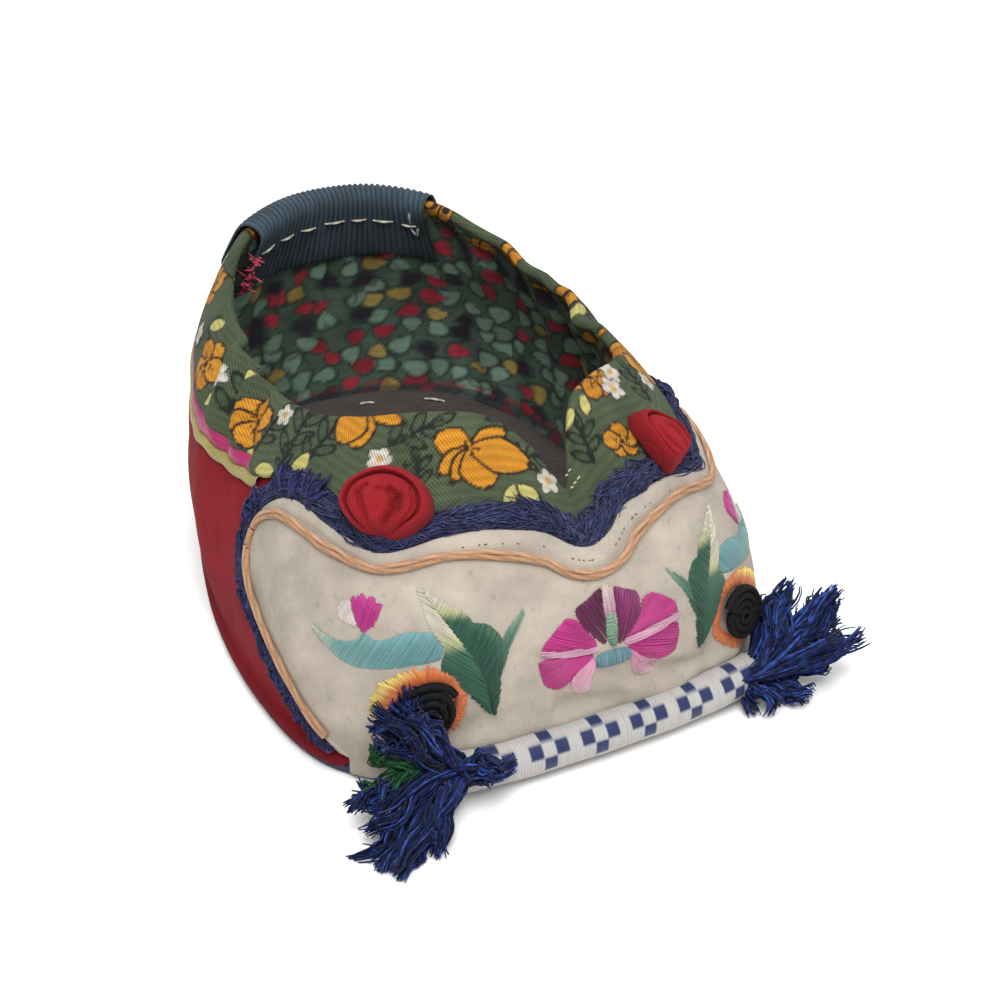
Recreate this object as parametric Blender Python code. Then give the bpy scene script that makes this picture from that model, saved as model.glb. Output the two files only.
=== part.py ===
"""A child's cloth shoe with an embroidered animal face on the toe, built from its sewn pieces.

Toe towards -Y, heel towards +Y, the sole's flat spots on the plane z = 0.
Tables are in millimetres. Every overlay is cut from the same wall function as the upper.
"""
import math

import bmesh
import bpy
import numpy as np

MM = 0.001

# Main sizes
SOLE_THICKNESS = 4.0
SOLE_EDGE = 1.2
SOLE_BEVEL = 0.7
ARCH_RISE = 0.9
ARCH_FRONT_Y = 8.0
ARCH_BACK_Y = 34.0
TOE_SPRING = 1.0
TOE_SPRING_Y = -36.0
GAP = 0.3
WALL = 2.0
CLOTH = 0.9
PANEL_THICKNESS = 0.9
PANEL_SEAT = 0.72
INSOLE_THICKNESS = 1.5
INSOLE_HEEL_RISE = 5.0
INSOLE_RISE_FRONT_Y = -10.0
INSOLE_RISE_BACK_Y = 58.0
FOOT_Z = SOLE_THICKNESS + GAP
PANEL_FACE = PANEL_SEAT + PANEL_THICKNESS

# How the wall of each section bends between the sole line and the rim
KNEE_ALONG = 0.2

# One row for each section of the last, from the middle of the toe to the middle of the heel
SECTION_COLUMNS = ("name", "foot_x", "foot_y", "belly", "rim_x", "rim_y", "rim_z")
SECTIONS = (
    ("toe_middle", 0.0, -47.5, 7.0, 0.0, -35.0, 40.0),
    ("toe_beside", 12.0, -47.4, 7.0, 4.0, -30.0, 46.0),
    ("toe_end", 24.0, -46.6, 6.4, 9.5, -25.5, 51.0),
    ("corner", 36.5, -43.4, 5.6, 18.0, -20.5, 51.5),
    ("cheek", 44.3, -33.8, 3.8, 27.5, -14.5, 50.0),
    ("ball", 47.0, -16.0, 3.2, 33.0, -4.0, 48.0),
    ("side", 46.0, 4.0, 3.8, 34.5, 12.0, 47.5),
    ("waist", 42.0, 24.0, 4.6, 32.5, 28.0, 49.0),
    ("heel_side", 35.5, 43.0, 4.8, 28.0, 43.5, 51.5),
    ("heel_corner", 26.0, 57.0, 4.5, 20.5, 55.0, 55.0),
    ("heel_round", 14.0, 64.5, 3.5, 10.5, 60.5, 57.0),
    ("heel_middle", 0.0, 66.5, 3.0, 0.0, 62.0, 57.5),
)

# Outline of the white face panel on the wall: along the toe line from its middle, and height
# How far the +X side is pressed in, as the soft shoe stands
TUCK_COLUMNS = ("along", "inwards")
SIDE_TUCK = (
    (0.0, 0.0),
    (10.0, 0.6),
    (24.0, 2.8),
    (36.0, 4.4),
    (50.0, 5.4),
    (65.0, 5.4),
    (85.0, 4.6),
    (105.0, 3.0),
    (125.0, 1.2),
    (142.0, 0.2),
    (155.0, 0.0),
    (180.0, 0.0),
)

PANEL_COLUMNS = ("along", "height")
PANEL_OUTLINE = (
    (0.0, 33.4),
    (6.0, 34.2),
    (13.0, 36.8),
    (23.0, 38.6),
    (32.0, 38.2),
    (40.0, 35.8),
    (46.0, 37.0),
    (53.0, 38.4),
    (61.0, 37.6),
    (67.5, 33.6),
    (69.0, 28.5),
    (67.0, 23.5),
    (61.5, 19.5),
    (54.0, 14.5),
    (48.5, 9.5),
    (44.0, 5.4),
)
PANEL_FOOT_ALONG = 42.5

# Lower edge of the collar
COLLAR_COLUMNS = ("along", "height")
COLLAR_EDGE = (
    (0.0, 38.4),
    (6.0, 39.4),
    (13.0, 41.4),
    (23.0, 43.6),
    (32.0, 43.4),
    (40.0, 42.0),
    (46.0, 42.6),
    (53.0, 43.6),
    (62.0, 43.0),
    (70.0, 40.4),
    (78.0, 38.6),
    (95.0, 36.8),
    (112.0, 36.4),
    (128.0, 40.0),
    (142.0, 46.5),
    (154.0, 52.0),
    (180.0, 53.5),
)
COLLAR_TURN = 4.0

FRINGE_WIDTH = 3.6
FRINGE_SIDE_WIDTH = 3.4
FRINGE_LOCK = 0.55
FRINGE_THICKNESS = 1.7
CORD_INSET = 3.0
CORD_WIDTH = 1.8
CORD_THICKNESS = 1.1
CORD_END_HEIGHT = 8.0

RIBBON_THICKNESS = 0.7
RIBBON_COLUMNS = ("name", "below_collar", "width", "colour")
RIBBONS = (
    ("ribbon_pink", 0.5, 3.2, "D0347A"),
    ("ribbon_yellow", 4.2, 1.9, "C4B458"),
)
RIBBON_FRONT = 79.0
RIBBON_BACK_MARGIN = 8.0

TAB_HALF = 29.0
TAB_INSIDE = 14.0
TAB_OUTSIDE = 9.0
STRIP_HALF = 5.0

ROSETTE_ALONG = 38.5
ROSETTE_HEIGHT = 42.6
ROSETTE_RADIUS = 7.4
ROSETTE_DEPTH = 4.6
ROSETTE_TURNS = 2
EYE_ALONG = 32.0
EYE_HEIGHT = 15.5
EYE_RADIUS = 5.8
EYE_DEPTH = 2.6

ROLL_RADIUS = 3.5
ROLL_HALF = 29.5
ROLL_HEIGHT = 4.3

# Locks of yarn of the tassels: where each ends from the root, and its thickness
LOCK_COLUMNS = ("out", "forward", "up", "sag", "radius")
LOCKS_STANDING = (
    (15.0, 3.0, 3.0, -1.0, 3.2),
    (13.0, 8.0, -0.5, 0.0, 3.0),
    (16.5, -1.5, 6.5, -2.0, 3.0),
    (9.0, 10.0, -1.0, 1.0, 2.8),
    (12.0, 5.0, 8.0, -2.5, 2.8),
)
LOCKS_DROOPING = (
    (13.0, 10.0, -1.2, 2.0, 3.2),
    (8.0, 14.0, -1.4, 2.0, 3.0),
    (15.0, 4.0, 1.0, 0.0, 3.0),
    (5.5, 12.5, -1.2, 2.0, 2.6),
    (11.0, 6.0, 6.0, -2.5, 2.8),
)

# Facets
AROUND = 72
STOP_CROWDING = 1.25
WALL_ROWS = 5
PANEL_AROUND = 52
PANEL_ROWS = 6
FRINGE_AROUND = 74
CORD_AROUND = 46
RIBBON_STEPS = 14
TAB_STEPS = 18
ROLL_STEPS = 16
ROLL_SIDES = 14
LOCK_SIDES = 8
LOCK_STEPS = 5


def cubic_table(knots, values, at):
    """Smooth curve through a table, one slope per knot taken from its two neighbours."""
    knots = np.asarray(knots, float)
    values = np.asarray(values, float)
    at = np.asarray(at, float)
    slopes = np.empty_like(values)
    slopes[1:-1] = (values[2:] - values[:-2]) / (knots[2:] - knots[:-2])[:, None]
    slopes[0] = (values[1] - values[0]) / (knots[1] - knots[0])
    slopes[-1] = (values[-1] - values[-2]) / (knots[-1] - knots[-2])
    i = np.clip(np.searchsorted(knots, at, side="right") - 1, 0, len(knots) - 2)
    width = (knots[i + 1] - knots[i])[..., None]
    t = ((at - knots[i])[..., None]) / width
    start = (2 * t ** 3 - 3 * t ** 2 + 1) * values[i] + (t ** 3 - 2 * t ** 2 + t) * width * slopes[i]
    end = (3 * t ** 2 - 2 * t ** 3) * values[i + 1] + (t ** 3 - t ** 2) * width * slopes[i + 1]
    return start + end


SECTION_VALUES = np.array([row[1:] for row in SECTIONS])
FOOT_STEPS = np.hypot(np.diff(SECTION_VALUES[:, 0]), np.diff(SECTION_VALUES[:, 1]))
FOOT_KNOTS = np.concatenate([[0.0], np.cumsum(FOOT_STEPS)])
HALF_LOOP = float(FOOT_KNOTS[-1])
MIRROR = np.array([-1.0, 1.0, 1.0, -1.0, 1.0, 1.0])
LOOP_KNOTS = np.concatenate([-FOOT_KNOTS[2:0:-1], FOOT_KNOTS, 2 * HALF_LOOP - FOOT_KNOTS[-2:-4:-1]])
LOOP_VALUES = np.concatenate([
    SECTION_VALUES[2:0:-1] * MIRROR,
    SECTION_VALUES,
    SECTION_VALUES[-2:-4:-1] * MIRROR,
])


def section(along):
    """Foot point, belly and rim point of the section at a distance round from the toe's middle."""
    along = np.asarray(along, float)
    values = cubic_table(LOOP_KNOTS, LOOP_VALUES, np.abs(along))
    side = np.where(along < 0, -1.0, 1.0)
    tuck = np.where(along > 0, table_line(SIDE_TUCK, along), 0.0)
    values[..., 0] = values[..., 0] * side - tuck
    values[..., 3] = values[..., 3] * side - tuck
    return values


def rim_height(along):
    return section(along)[..., 5]


def skin(along, height):
    """Point of the upper's outer face."""
    along, height = np.broadcast_arrays(np.asarray(along, float), np.asarray(height, float))
    foot_x, foot_y, belly, rim_x, rim_y, rim_z = np.moveaxis(section(along), -1, 0)
    step = section(along + 0.05) - section(along - 0.05)
    length = np.hypot(step[..., 0], step[..., 1])
    out_x = step[..., 1] / length
    out_y = -step[..., 0] / length
    knee_x = foot_x + (rim_x - foot_x) * KNEE_ALONG + out_x * belly * 2
    knee_y = foot_y + (rim_y - foot_y) * KNEE_ALONG + out_y * belly * 2
    t = (height - FOOT_Z) / (rim_z - FOOT_Z)
    low = (1 - t) ** 2
    middle = 2 * t * (1 - t)
    high = t ** 2
    x = low * foot_x + middle * knee_x + high * rim_x
    y = low * foot_y + middle * knee_y + high * rim_y
    return np.stack([x, y, height], axis=-1)


def frame_on_skin(along, height):
    """Point, outward normal and upward direction of the outer face."""
    along, height = np.broadcast_arrays(np.asarray(along, float), np.asarray(height, float))
    point = skin(along, height)
    across = skin(along + 0.2, height) - skin(along - 0.2, height)
    up = skin(along, height + 0.2) - skin(along, height - 0.2)
    normal = np.cross(across, up)
    normal /= np.linalg.norm(normal, axis=-1, keepdims=True)
    up /= np.linalg.norm(up, axis=-1, keepdims=True)
    return point, normal, up


def wall(along, height, offset):
    point, normal, _ = frame_on_skin(along, height)
    return point + normal * np.asarray(offset, float)[..., None]


def table_line(table, along):
    rows = np.array(table)
    return cubic_table(rows[:, 0], rows[:, 1:], np.abs(along))[..., 0]


def add_solid(name, points, faces, colour):
    """One closed mesh object with its own material."""
    mesh = bpy.data.meshes.new(name)
    mesh.from_pydata([tuple(p * MM) for p in np.asarray(points, float)], [], faces)
    bm = bmesh.new()
    bm.from_mesh(mesh)
    bmesh.ops.triangulate(bm, faces=bm.faces[:])
    bmesh.ops.recalc_face_normals(bm, faces=bm.faces[:])
    bm.to_mesh(mesh)
    bm.free()
    item = bpy.data.objects.new(name, mesh)
    bpy.context.scene.collection.objects.link(item)
    item.data.materials.append(plain_material(name, colour))
    return item


def plain_material(name, colour):
    material = bpy.data.materials.new(name + "_material")
    material.use_nodes = True
    shader = material.node_tree.nodes["Principled BSDF"]
    shares = [int(colour[i:i + 2], 16) / 255 for i in (0, 2, 4)]
    linear = [s / 12.92 if s <= 0.04045 else ((s + 0.055) / 1.055) ** 2.4 for s in shares]
    shader.inputs["Base Color"].default_value = (*linear, 1.0)
    shader.inputs["Roughness"].default_value = 0.8
    return material


def sweep(name, sections, colour, ring):
    """Closed solid through a row of cross sections of equal count, as a ring or with two end caps."""
    grid = np.asarray(sections, float)
    count, sides = grid.shape[:2]
    faces = []
    for i in range(count if ring else count - 1):
        j = (i + 1) % count
        for k in range(sides):
            n = (k + 1) % sides
            a, b, c, d = i * sides + k, j * sides + k, j * sides + n, i * sides + n
            faces.append((a, b, c))
            faces.append((a, c, d))
    if not ring:
        for i in (0, count - 1):
            base = i * sides
            half = sides // 2
            for k in range(half - 1):
                a, b = base + k, base + k + 1
                c, d = base + sides - 2 - k, base + sides - 1 - k
                faces.append((a, b, c) if i == 0 else (a, c, b))
                faces.append((a, c, d) if i == 0 else (a, d, c))
    return add_solid(name, grid.reshape(-1, 3), faces, colour)


def paired(outer, inner):
    """Cross sections from two faces: up one and down the other."""
    return np.concatenate([outer, inner[:, ::-1]], axis=1)


def loop_stops(count):
    """Stops round the loop, closer together at the notch in the toe."""
    share = -1 + 2 * np.arange(count) / count
    return HALF_LOOP * np.sign(share) * np.abs(share) ** STOP_CROWDING


def build_upper():
    along = loop_stops(AROUND)[:, None]
    share = np.linspace(0, 1, WALL_ROWS + 1)[None, :]
    height = FOOT_Z + (rim_height(along) - FOOT_Z) * share
    along = np.broadcast_to(along, height.shape)
    zero = np.zeros_like(height)
    outer = wall(along, height, zero)
    inner = wall(along, height, zero - WALL)
    outer[:, 0, 2] = FOOT_Z
    inner[:, 0, 2] = FOOT_Z
    return sweep("upper", paired(outer, inner), "98303A", True)


def outline_at(offset):
    """Foot line moved outwards, flat, one point for each stop round the loop."""
    along = loop_stops(AROUND)
    point, normal, _ = frame_on_skin(along, np.full(AROUND, FOOT_Z))
    flat = normal[:, :2] / np.linalg.norm(normal[:, :2], axis=1, keepdims=True)
    return point[:, :2] + flat * offset


def under_rise(y):
    """Height of the sole's underside: flat at heel and ball, an arch between, a spring at the toe."""
    arch = np.clip((y - ARCH_FRONT_Y) / (ARCH_BACK_Y - ARCH_FRONT_Y), 0, 1)
    toe = np.clip((TOE_SPRING_Y - y) / 12.0, 0, 1)
    return ARCH_RISE * np.sin(np.pi * arch) ** 2 + TOE_SPRING * toe ** 2


def build_layered(name, layers, colour):
    """Flat piece from outline rings, capped by strips between the two sides of the loop."""
    rings = np.array(layers)
    levels, count = rings.shape[:2]
    faces = []
    for i in range(levels - 1):
        for k in range(count):
            n = (k + 1) % count
            a, b, c, d = i * count + k, i * count + n, (i + 1) * count + n, (i + 1) * count + k
            faces.append((a, b, c))
            faces.append((a, c, d))
    for i in (0, levels - 1):
        base = i * count
        for k in range(count // 2):
            a, b = base + k, base + k + 1
            c, d = base + (count - k - 1) % count, base + (count - k) % count
            quad = []
            for v in (a, b, c, d):
                if v not in quad:
                    quad.append(v)
            if len(quad) > 2:
                faces.append(tuple(quad) if i == 0 else tuple(reversed(quad)))
    return add_solid(name, rings.reshape(-1, 3), faces, colour)


def build_outsole():
    layers = []
    steps = ((SOLE_BEVEL, 0.0, 0.0), (0.0, SOLE_BEVEL, 0.0), (0.0, 0.6, 1.0), (0.5, 0.0, 1.0))
    for inset, rise, share in steps:
        ring = outline_at(SOLE_EDGE - inset)
        under = under_rise(ring[:, 1]) + rise
        top = SOLE_THICKNESS - rise
        z = under * (1 - share) + top * share
        layers.append(np.column_stack([ring, z]))
    return build_layered("outsole", layers, "1F2540")


def build_insole():
    """Padded sock that thickens towards the heel."""
    ring = outline_at(-WALL - 0.5)
    share = np.clip((ring[:, 1] - INSOLE_RISE_FRONT_Y) / (INSOLE_RISE_BACK_Y - INSOLE_RISE_FRONT_Y), 0, 1)
    thick = INSOLE_THICKNESS + INSOLE_HEEL_RISE * share * share * (3 - 2 * share)
    layers = [np.column_stack([ring, np.full(AROUND, FOOT_Z)]), np.column_stack([ring, FOOT_Z + thick])]
    return build_layered("insole", layers, "3D373D")


def over_rim(along, outside_rows, bends):
    """Points outside the wall and then over its rim; bends are (outward, up) steps at the rim."""
    top = rim_height(along)
    point, normal, up = frame_on_skin(along, top)
    over = [point + normal * n + up * t for n, t in bends]
    return np.concatenate([outside_rows, np.stack(over, axis=1)], axis=1)


def build_collar():
    along = loop_stops(AROUND)
    low = table_line(COLLAR_EDGE, along)
    top = rim_height(along)
    rows = np.array([0.0, 0.33, 0.67])[None, :]
    height = low[:, None] + (top - low)[:, None] * rows
    wide = np.broadcast_to(along[:, None], height.shape)
    seat = GAP + 0.1
    near = wall(wide, height, np.full(height.shape, seat))
    far = wall(wide, height, np.full(height.shape, seat + CLOTH))
    inside = -WALL - seat
    near_bends = ((seat, 0.0), (seat, 0.5), (inside, 0.5), (inside, -COLLAR_TURN))
    out = seat + CLOTH
    top_step = 0.5 + CLOTH
    deep = inside - CLOTH
    far_bends = ((out, 0.0), (out - 0.5, top_step), (deep + 0.4, top_step), (deep, -COLLAR_TURN))
    sections = paired(over_rim(along, far, far_bends), over_rim(along, near, near_bends))
    return sweep("collar", sections, "4A5F48", True)


def build_heel_tab():
    along = HALF_LOOP + np.linspace(-TAB_HALF, TAB_HALF, TAB_STEPS + 1)
    along_loop = np.where(along > HALF_LOOP, along - 2 * HALF_LOOP, along)
    top = rim_height(along_loop)
    base = GAP * 2 + CLOTH
    inner = -WALL - base - 0.5
    over = base + 0.4
    near_bends = ((base, -TAB_OUTSIDE), (base, 0.0), (base - 0.3, over), (inner + 0.2, over), (inner, -4.5),
                  (inner, -TAB_INSIDE))
    out = base + CLOTH
    deep = inner - CLOTH
    crest = over + CLOTH
    far_bends = ((out, -TAB_OUTSIDE), (out, 0.0), (out - 0.5, crest), (deep + 0.5, crest), (deep, -4.5),
                 (deep, -TAB_INSIDE))
    point, normal, up = frame_on_skin(along_loop, top)
    near = np.stack([point + normal * n + up * t for n, t in near_bends], axis=1)
    far = np.stack([point + normal * n + up * t for n, t in far_bends], axis=1)
    return sweep("heel_tab", paired(far, near), "1B2433", False)


def build_back_strip():
    height = np.linspace(FOOT_Z + 0.5, float(table_line(COLLAR_EDGE, np.array(HALF_LOOP))) - 0.6, 9)
    around = HALF_LOOP + np.linspace(-STRIP_HALF, STRIP_HALF, 5)
    around = np.where(around > HALF_LOOP, around - 2 * HALF_LOOP, around)
    tall, wide = np.meshgrid(height, around, indexing="ij")
    far = wall(wide, tall, np.full(tall.shape, GAP + CLOTH))
    near = wall(wide, tall, np.full(tall.shape, GAP))
    return sweep("back_strip", paired(far, near), "1B2433", False)


def panel_curve(count):
    """Face panel's outline from its right foot over the top to its left foot, with outward steps."""
    rows = np.array(PANEL_OUTLINE)
    both = np.concatenate([rows[:0:-1], rows * np.array([-1.0, 1.0])])
    steps = np.hypot(np.diff(both[:, 0]), np.diff(both[:, 1]))
    knots = np.concatenate([[0.0], np.cumsum(steps)])
    at = np.linspace(0, knots[-1], count)
    curve = cubic_table(knots, both, at)
    tangent = cubic_table(knots, both, np.clip(at + 0.5, 0, knots[-1]))
    tangent = tangent - cubic_table(knots, both, np.clip(at - 0.5, 0, knots[-1]))
    tangent /= np.linalg.norm(tangent, axis=1, keepdims=True)
    outward = np.column_stack([tangent[:, 1], -tangent[:, 0]])
    return curve, outward


def build_panel():
    edge, _ = panel_curve(PANEL_AROUND + 1)
    foot = np.column_stack([
        np.linspace(PANEL_FOOT_ALONG, -PANEL_FOOT_ALONG, PANEL_AROUND + 1),
        np.full(PANEL_AROUND + 1, FOOT_Z + 0.7),
    ])
    share = np.linspace(0, 1, PANEL_ROWS + 1)[None, :, None]
    spots = foot[:, None, :] * (1 - share) + edge[:, None, :] * share
    near = wall(spots[..., 0], spots[..., 1], np.full(spots.shape[:2], PANEL_SEAT))
    far = wall(spots[..., 0], spots[..., 1], np.full(spots.shape[:2], PANEL_FACE))
    return sweep("vamp_panel", paired(far, near), "C9C0B0", False)


def build_fringe():
    edge, outward = panel_curve(FRINGE_AROUND + 1)
    lock = np.where(np.arange(FRINGE_AROUND + 1) % 2 == 0, FRINGE_LOCK, -FRINGE_LOCK)
    upright = np.clip(outward[:, 1], 0, 1)
    width = FRINGE_SIDE_WIDTH + (FRINGE_WIDTH - FRINGE_SIDE_WIDTH) * upright
    rows = ((0.55, GAP), (0.55, GAP + 1.0), (0.5 * width, GAP + FRINGE_THICKNESS), (width + lock, GAP + 0.8),
            (width + lock, GAP))
    sections = []
    for reach, offset in rows:
        spot = edge + outward * np.broadcast_to(reach, len(edge))[:, None]
        spot[:, 1] = np.maximum(spot[:, 1], FOOT_Z + 0.4)
        sections.append(wall(spot[:, 0], spot[:, 1], np.full(len(edge), offset)))
    ring = np.stack(sections, axis=1)
    ring = np.concatenate([ring, 0.5 * (ring[:, 4:5] + ring[:, 0:1])], axis=1)
    return sweep("fringe", ring, "2D2F63", False)


def build_cord():
    edge, outward = panel_curve(CORD_AROUND + 1)
    keep = edge[:, 1] > CORD_END_HEIGHT
    edge = edge[keep]
    outward = outward[keep]
    base = PANEL_FACE + GAP
    sections = []
    for reach, offset in ((-0.5, 0.0), (-0.5, 0.7), (0.5, 0.7), (0.5, 0.0)):
        spot = edge - outward * (CORD_INSET + reach * CORD_WIDTH)
        lift = base + offset / 0.7 * CORD_THICKNESS
        sections.append(wall(spot[:, 0], spot[:, 1], np.full(len(edge), lift)))
    return sweep("vamp_cord", np.stack(sections, axis=1), "D9905A", False)


def build_ribbons():
    for name, below, width, colour in RIBBONS:
        for side, word in ((1.0, "left"), (-1.0, "right")):
            along = side * np.linspace(RIBBON_FRONT, HALF_LOOP - RIBBON_BACK_MARGIN, RIBBON_STEPS + 1)
            top = table_line(COLLAR_EDGE, along) - below
            low = top - width
            sections = []
            for height, offset in ((low, 0.0), (low, RIBBON_THICKNESS), (top, RIBBON_THICKNESS), (top, 0.0)):
                sections.append(wall(along, height, np.full(len(along), GAP + offset)))
            sweep(name + "_" + word, np.stack(sections, axis=1), colour, False)


def build_button(name, along, height, radius, base, depth, turns, ring_count, spokes, colour):
    """Round piece seated on the wall, its face carrying a spiral fold."""
    point, normal, up = frame_on_skin(np.array(along), np.array(height))
    rise = float(up[2])
    step = skin(along + 0.5, height) - skin(along - 0.5, height)
    stretch = float(np.linalg.norm(step))
    points = []
    angles = 2 * np.pi * np.arange(spokes) / spokes
    radii = np.linspace(1, 1.0 / ring_count, ring_count)
    for level in (0, 1):
        for r in radii:
            spot_a = along + radius * r * np.cos(angles) / stretch
            spot_z = height + radius * r * np.sin(angles) * rise
            seat = base(spot_a, spot_z)
            if level:
                fold = 0.5 + 0.5 * np.cos(turns * 2 * np.pi * r + angles)
                dome = depth * (0.55 + 0.45 * math.sqrt(max(0.0, 1 - (r * 0.8) ** 2)))
                seat = seat + dome - 0.22 * depth * fold * min(1.0, 2 * r)
            points.append(wall(spot_a, spot_z, seat))
    seat = base(np.array([along]), np.array([height]))
    bottom = wall(np.array([along]), np.array([height]), seat)
    top = wall(np.array([along]), np.array([height]), seat + depth * 0.9)
    cloud = np.concatenate(points + [bottom, top])
    faces = []
    under = 2 * ring_count * spokes
    for level in (0, 1):
        first = level * ring_count * spokes
        for i in range(ring_count - 1):
            for k in range(spokes):
                n = (k + 1) % spokes
                a, b = first + i * spokes + k, first + i * spokes + n
                c, d = first + (i + 1) * spokes + n, first + (i + 1) * spokes + k
                faces.append((a, b, c))
                faces.append((a, c, d))
        last = first + (ring_count - 1) * spokes
        for k in range(spokes):
            faces.append((last + k, last + (k + 1) % spokes, under + level))
    high = ring_count * spokes
    for k in range(spokes):
        n = (k + 1) % spokes
        faces.append((k, n, high + n))
        faces.append((k, high + n, high + k))
    return add_solid(name, cloud, faces, colour)


def rosette_seat(along, height):
    """Clear of the fringe below, close to the collar above."""
    edge = table_line(COLLAR_EDGE, along)
    share = np.clip((height - edge + 0.5) / 2.5, 0, 1)
    low = 2 * GAP + FRINGE_THICKNESS
    high = 2 * GAP + CLOTH
    return low + (high - low) * share * share * (3 - 2 * share) + 0.05


def eye_seat(along, height):
    return np.full(np.shape(along), PANEL_FACE + GAP)


def roll_axis(along):
    """Middle line of the roll, as far out as the overhang of the face panel needs."""
    foot, normal, _ = frame_on_skin(along, np.full(np.shape(along), FOOT_Z))
    flat = normal[:, :2] / np.linalg.norm(normal[:, :2], axis=1, keepdims=True)
    clear = ROLL_RADIUS + GAP + 0.1
    reach = np.zeros(len(along))
    for height in np.linspace(FOOT_Z, ROLL_HEIGHT + clear, 12):
        face = wall(along, np.full(len(along), height), np.full(len(along), PANEL_FACE))
        out = ((face - foot)[:, :2] * flat).sum(axis=1)
        level = min(abs(height - ROLL_HEIGHT), clear)
        reach = np.maximum(reach, out + math.sqrt(clear ** 2 - level ** 2))
    flat_axis = foot[:, :2] + flat * reach[:, None]
    return np.column_stack([flat_axis, np.full(len(along), ROLL_HEIGHT)])


def tube(axis, radii, sides):
    """Round cross sections along an axis."""
    axis = np.asarray(axis, float)
    run = np.gradient(axis, axis=0)
    run /= np.linalg.norm(run, axis=1, keepdims=True)
    side = np.cross(run, np.array([0.0, 0.0, 1.0]))
    side /= np.linalg.norm(side, axis=1, keepdims=True)
    up = np.cross(side, run)
    angles = 2 * np.pi * (np.arange(sides) + 0.5) / sides
    ring = np.cos(angles)[None, :, None] * side[:, None, :] + np.sin(angles)[None, :, None] * up[:, None, :]
    return axis[:, None, :] + ring * np.asarray(radii, float)[:, None, None]


def build_roll():
    along = np.linspace(ROLL_HALF, -ROLL_HALF, ROLL_STEPS + 1)
    radii = np.full(ROLL_STEPS + 1, ROLL_RADIUS)
    radii[0] = ROLL_RADIUS * 0.82
    radii[-1] = ROLL_RADIUS * 0.82
    return sweep("toe_roll", tube(roll_axis(along), radii, ROLL_SIDES), "D5D5DC", False)


def build_tassel(name, side, locks):
    """Locks of yarn that leave one root beside the end of the roll, joined into one solid."""
    end = roll_axis(np.array([side * ROLL_HALF, side * (ROLL_HALF - 1.0)]))
    run = end[0] - end[1]
    run /= np.linalg.norm(run)
    root = end[0] + run * (GAP + 0.1)
    pieces = []
    for i, (out, forward, up, sag, radius) in enumerate(locks):
        tip = root + np.array([side * out, -forward, up])
        share = np.linspace(0, 1, LOCK_STEPS)[:, None]
        start = root + run * (2.4 + 0.37 * i)
        axis = start + (tip - start) * share
        axis[:, 2] += (sag * 4 * share * (1 - share))[:, 0]
        axis = np.concatenate([[start - run * 2.4], axis])
        swell = np.array([0.7, 0.95, 1.1, 1.05, 0.85, 0.45]) * radius
        swell[0] = 2.3 + 0.17 * i
        axis[:, 2] = np.maximum(axis[:, 2], swell + 0.35)
        pieces.append(sweep(name + "_lock", tube(axis, swell, LOCK_SIDES), "24367F", False))
    body = pieces[0]
    body.name = name
    body.data.name = name
    for other in pieces[1:]:
        join = body.modifiers.new("join", "BOOLEAN")
        join.operation = "UNION"
        join.solver = "EXACT"
        join.object = other
        bpy.context.view_layer.update()
        shape = body.evaluated_get(bpy.context.evaluated_depsgraph_get())
        fused = bpy.data.meshes.new_from_object(shape)
        body.modifiers.clear()
        body.data = fused
        bpy.data.objects.remove(other)
    bm = bmesh.new()
    bm.from_mesh(body.data)
    bmesh.ops.remove_doubles(bm, verts=bm.verts[:], dist=0.000005)
    bmesh.ops.triangulate(bm, faces=bm.faces[:])
    bmesh.ops.recalc_face_normals(bm, faces=bm.faces[:])
    bm.to_mesh(body.data)
    bm.free()
    body.data.materials.clear()
    body.data.materials.append(plain_material(name, "24367F"))
    return body


def main():
    for item in list(bpy.data.objects):
        bpy.data.objects.remove(item)
    build_outsole()
    build_upper()
    build_insole()
    build_collar()
    build_heel_tab()
    build_back_strip()
    build_panel()
    build_fringe()
    build_cord()
    build_ribbons()
    for side, word in ((1.0, "left"), (-1.0, "right")):
        build_button("rosette_" + word, side * ROSETTE_ALONG, ROSETTE_HEIGHT, ROSETTE_RADIUS, rosette_seat,
                     ROSETTE_DEPTH, ROSETTE_TURNS, 4, 22, "C21F2E")
        build_button("eye_" + word, side * EYE_ALONG, EYE_HEIGHT, EYE_RADIUS, eye_seat, EYE_DEPTH, 1, 3, 16,
                     "17161C")
    build_roll()
    build_tassel("tassel_left", 1.0, LOCKS_STANDING)
    build_tassel("tassel_right", -1.0, LOCKS_DROOPING)


main()
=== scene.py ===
# %% [markdown]
# # A child's embroidered cloth shoe
# The shoe is sewn from a dozen cloth pieces. The CAD frame holds them as plain solids; here each one
# becomes real cloth, yarn or thread. Everything is laid on one wall function, the same one that shaped
# the solids, so a flower, a fold or a stitch is placed by two numbers: how far round from the toe's
# middle, and how high, both in millimetres.

# %% Load the frame
import math

import bpy
import numpy as np
from mathutils import Matrix, Vector


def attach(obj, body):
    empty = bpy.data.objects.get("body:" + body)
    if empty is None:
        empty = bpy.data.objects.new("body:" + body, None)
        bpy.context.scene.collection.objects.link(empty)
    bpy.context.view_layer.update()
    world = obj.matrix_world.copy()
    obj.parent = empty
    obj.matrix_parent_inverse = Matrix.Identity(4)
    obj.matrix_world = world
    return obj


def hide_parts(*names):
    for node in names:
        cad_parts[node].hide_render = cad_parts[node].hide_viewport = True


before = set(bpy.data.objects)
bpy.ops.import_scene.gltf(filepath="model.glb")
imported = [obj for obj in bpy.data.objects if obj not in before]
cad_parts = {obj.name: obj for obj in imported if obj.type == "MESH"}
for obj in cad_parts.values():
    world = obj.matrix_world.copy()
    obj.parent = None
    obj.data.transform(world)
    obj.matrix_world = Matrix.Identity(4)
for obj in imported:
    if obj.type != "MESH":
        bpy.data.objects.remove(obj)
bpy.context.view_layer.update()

MM = 0.001
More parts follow.
